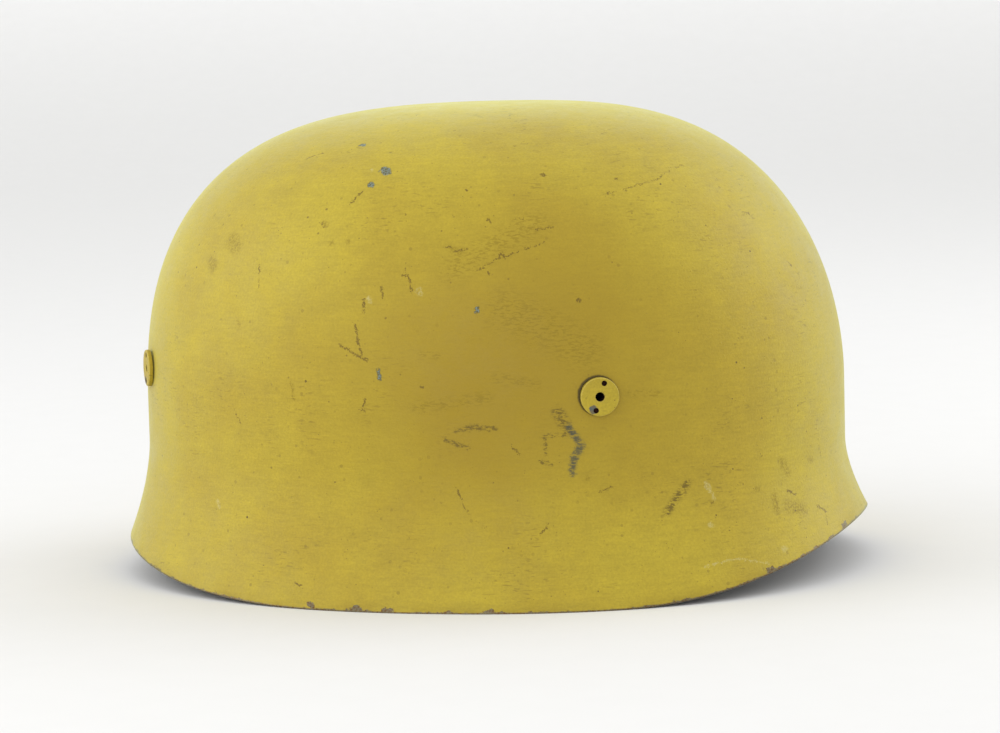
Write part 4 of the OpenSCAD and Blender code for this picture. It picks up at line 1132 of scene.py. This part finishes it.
# each leg's way round the helmet from its bolt, and its length to where the straps meet
legs = {"front_left": (1, 73.73), "front_right": (-1, 73.73),
        "rear_left": (-1, 112.003), "rear_right": (1, 112.003)}
for corner, (way, reach) in legs.items():
    # pierced for its bolt, it slants down
    angle, height, _ = bolts[corner]
    rise = (height - tuck) / reach
    length = reach - strapForm["endGap"] + strapForm["half"]
    start = walked(radians(angle), -way, layer["legOut"], strapForm["half"])
    top = height + rise * strapForm["half"]
    leg, _ = makeStrap("harnessLeg_" + corner, start, way, length, (top, top - rise * length),
                       (layer["legOut"], layer["legOut"]), roundStart=True)
    drill(leg, wallMatrix(radians(angle), 3.5, height), strapForm["boltHole"], 8)
    finishStrap(leg, "harness_leg_" + corner)

napeLength = strapForm["napeRun"] + strapForm["napeLap"] - strapForm["endGap"]
lapStart = napeLength - 2 * strapForm["napeLap"] - strapForm["lapLead"]
for name, way, lapDepth in (("left", 1, layer["lapOut"]), ("right", -1, layer["hoopOut"])):
    strap, track = makeStrap("napeStrap_" + name, fromJunction(way, way), way, napeLength, (tuck, tuck),
                             (layer["hoopOut"], lapDepth), (lapStart - strapForm["lapRise"], lapStart))
    for aside in (-1, 1):
        angle = pi + aside * radians(strapForm["studAngle"])
        drill(strap, wallMatrix(angle, 7, tuck), strapForm["studHole"], 9, 24)
    finishStrap(strap, "nape_strap_" + name, boxSeam(track, 3, 14, layer["hoopIn"]))

strap, track = makeStrap("chinStrap_holed", fromJunction(1, -1), -1, strapForm["longLength"], (tuck, tuck),
                         (layer["hoopOut"], layer["hoopOut"]))
for k in range(strapForm["holes"]):
    angle = angleOn(track, strapForm["longLength"] - strapForm["holeMargin"] - strapForm["holePitch"] * k)
    drill(strap, wallMatrix(angle, 6, tuck), strapForm["hole"], 7, 24)
finishStrap(strap, "chin_strap_left", boxSeam(track, 3, 14, layer["hoopIn"]))

# the short strap is folded round the buckle's bar and sewn down behind it
foldForm = {"barIn": 8.46, "foldRound": 3.56, "barGap": 1.36, "returned": 26.0, "run": 10.0, "steps": 30,
            "slot": (13.0, 12.0, 5.2), "slotAhead": -1.5, "keeperSpace": 9.0, "keeperWidth": 8.0,
            "keeperThick": 1.4, "keeperGap": 0.4}
shortStart = fromJunction(-1, 1)
barAngle = walked(shortStart, 1, layer["hoopOut"], strapForm["shortLength"])
backTrack = trackAlong(barAngle, -1, layer["hoopOut"], strapForm["shortLength"])


def foldedPath():
    f = foldForm
    path = []
    for k in range(f["steps"] + 1):
        s = strapForm["shortLength"] * (1 - k / f["steps"])
        path.append(wallPoint(angleOn(backTrack, s), layer["hoopOut"], 0))
    bar = wallPoint(barAngle, f["barIn"], 0)
    for k in range(1, 12):
        bend = pi * k / 12
        path.append(bar + (outward(barAngle) * cos(bend) + alongWall(barAngle) * sin(bend)) * f["foldRound"])
    for k in range(13):
        s = f["returned"] * k / 12
        depth = layer["hoopIn"] + (f["barIn"] + f["barGap"] - layer["hoopIn"]) * max(0, 1 - s / f["run"])
        path.append(wallPoint(angleOn(backTrack, s), depth + layer["strap"], 0))
    return path


folded = foldedPath()


def acrossFold(j):
    return sin(pi * (j / strapForm["rows"] - 0.5))


def strapAxes(angle, depth):
    # X along the wall, Y towards the head, Z up
    return axes(alongWall(angle), -outward(angle), zUp, wallPoint(angle, depth, tuck))


strap = formSheet("chinStrap_buckled", len(folded) - 1, strapForm["rows"],
                  lambda i, j: folded[i] + zUp * (tuck + strapForm["half"] * acrossFold(j)),
                  Vector((0, 0, 0.03)),
                  {"edgeGap": lambda i, j: strapForm["half"] * (1 - abs(acrossFold(j)))})
dress(strap, strapLeather, linen)
thicken(strap, layer["strap"] - 0.03)
deselectAll()
bpy.ops.mesh.primitive_cube_add(size=1)
cutWith(strap, named("slotCutter"), strapAxes(barAngle, foldForm["barIn"])
        @ Matrix.Translation((foldForm["slotAhead"] * mm, 0, 0))
        @ Matrix.Diagonal((*(side * mm for side in foldForm["slot"]), 1)))
shortTrack = trackAlong(shortStart, 1, layer["hoopOut"], 30)
finishStrap(strap, "chin_strap_right", boxSeam(backTrack, 13, 23, layer["hoopIn"] + layer["strap"])
            + boxSeam(shortTrack, 3, 14, layer["hoopIn"]))


def makeKeeper():
    # a loop of thin leather round the short strap
    f = foldForm
    out = f["keeperGap"] + f["keeperThick"]
    near, far, side = -out, layer["strap"] + out, strapForm["half"] + out
    loop = roundedLoop([(near, -side), (far, -side), (far, side), (near, side)], 1.7)
    fine = []
    for k, point in enumerate(loop):
        after = loop[(k + 1) % len(loop)]
        pieces = max(1, round((after - point).length / 2.5))
        fine += [point.lerp(after, n / pieces) for n in range(pieces)]
    matrix = strapAxes(angleOn(backTrack, f["returned"] + f["keeperSpace"]), layer["hoopOut"])

    def place(i, j):
        y, z = fine[i % len(fine)]
        return matrix @ (Vector((f["keeperWidth"] * (j / 4 - 0.5), y, z)) * mm) / mm

    keeper = formSheet("strapKeeper", len(fine), 4, place, matrix @ (Vector((0, 1.1, 0)) * mm),
                       {"edgeGap": lambda i, j: f["keeperWidth"] * (0.5 - abs(j / 4 - 0.5))})
    dress(keeper, strapLeather)
    thicken(keeper, f["keeperThick"])
    bevelEdges(keeper, 0.3, 2, 60)
    finishPiece(keeper, "strap_keeper")


makeKeeper()
discard(stitch)
print("stage 8: harness done")


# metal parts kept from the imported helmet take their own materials

kept = {"liner_band": bandAlloy, "liner_rivets": rivetSteel, "press_studs": studMetal,
        "buckle_frame": buckleMetal, "buckle_prong": buckleMetal, "buckle_roller": buckleMetal}
for corner in bolts:
    kept["clamp_nut_" + corner] = nutSteel
    kept["washer_" + corner] = washerSteel
for node, material in kept.items():
    dress(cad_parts[node], material)


# floor, light and colour

studio = {"floor": shade(226, 226, 225), "wall": shade(250, 250, 249), "fibre": shade(214, 214, 212),
          "backLight": 0.13, "worldStrength": 1.04, "reach": 4.0, "bend": 1.2, "level": 2.4}


def sweepGrid(i, j):
    # a floor that curves up behind the helmet as seen from the camera
    s = studio
    across = (i / 40 - 0.5) * 2 * s["reach"]
    run = (j / 60) * (2 * s["reach"] + s["bend"] * pi / 2) - s["reach"]
    curved = limit(run - s["level"], 0, s["bend"] * pi / 2)
    back = min(run, s["level"]) + s["bend"] * sin(curved / s["bend"])
    high = s["bend"] * (1 - cos(curved / s["bend"])) + max(0, run - s["level"] - s["bend"] * pi / 2)
    return (towardsCamera * -back + viewRight * across + zUp * high) / mm


towardsCamera = Vector((-lookDirection.x, -lookDirection.y, 0)).normalized()
sweep = formSheet("paleSweep", 40, 60, sweepGrid)
sweepPaper, shader, place = newMaterial("sweepPaper", 0.1, Roughness=0.95)
lift = ramp(addNode("SeparateXYZ", {"Vector": place}).outputs["Z"], 0.0, 0.5)
fibres = ramp(noise(place, 60.0, 3.0), 0.3, 0.7, 0.0, 0.06)
tone = mixColour(lift, studio["floor"], studio["wall"])
# the backdrop is lit a little from behind
feed(shader, {"Base Color": mixColour(fibres, tone, studio["fibre"]), "Emission Color": (1, 1, 1, 1),
              "Emission Strength": times(lift, studio["backLight"])})
dress(sweep, sweepPaper)
pick(sweep)
bpy.ops.object.shade_smooth()

world = bpy.context.scene.world or bpy.data.worlds.new("studioWorld")
bpy.context.scene.world = world
world.use_nodes = True
background = world.node_tree.nodes.get("Background") or world.node_tree.nodes.new("ShaderNodeBackground")
feed(background.inputs, {"Color": (1, 1, 1, 1), "Strength": studio["worldStrength"]})

# soft boxes: place across, up and towards the camera from the helmet's middle, in metres, then size and power
lamps = {"leftSoftBox": (-1.25, 0.55, 0.2, 1.1, 6.1), "rightSoftBox": (1.25, 0.7, -0.3, 1.1, 6.0),
         "topSoftBox": (0.0, 1.7, 0.1, 1.5, 0.6), "cameraFill": (-0.5, 0.25, 1.5, 0.9, 3.4)}
for name, (across, high, near, size, power) in lamps.items():
    place = viewRight * across + zUp * high + towardsCamera * near
    deselectAll()
    bpy.ops.object.light_add(type="AREA", location=place)
    lamp = named(name)
    lamp.data.size = size
    lamp.data.energy = power
    lamp.rotation_euler = (Vector((0, 0, 0.07)) - place).to_track_quat("-Z", "Y").to_euler()
print("stage 9: studio done")
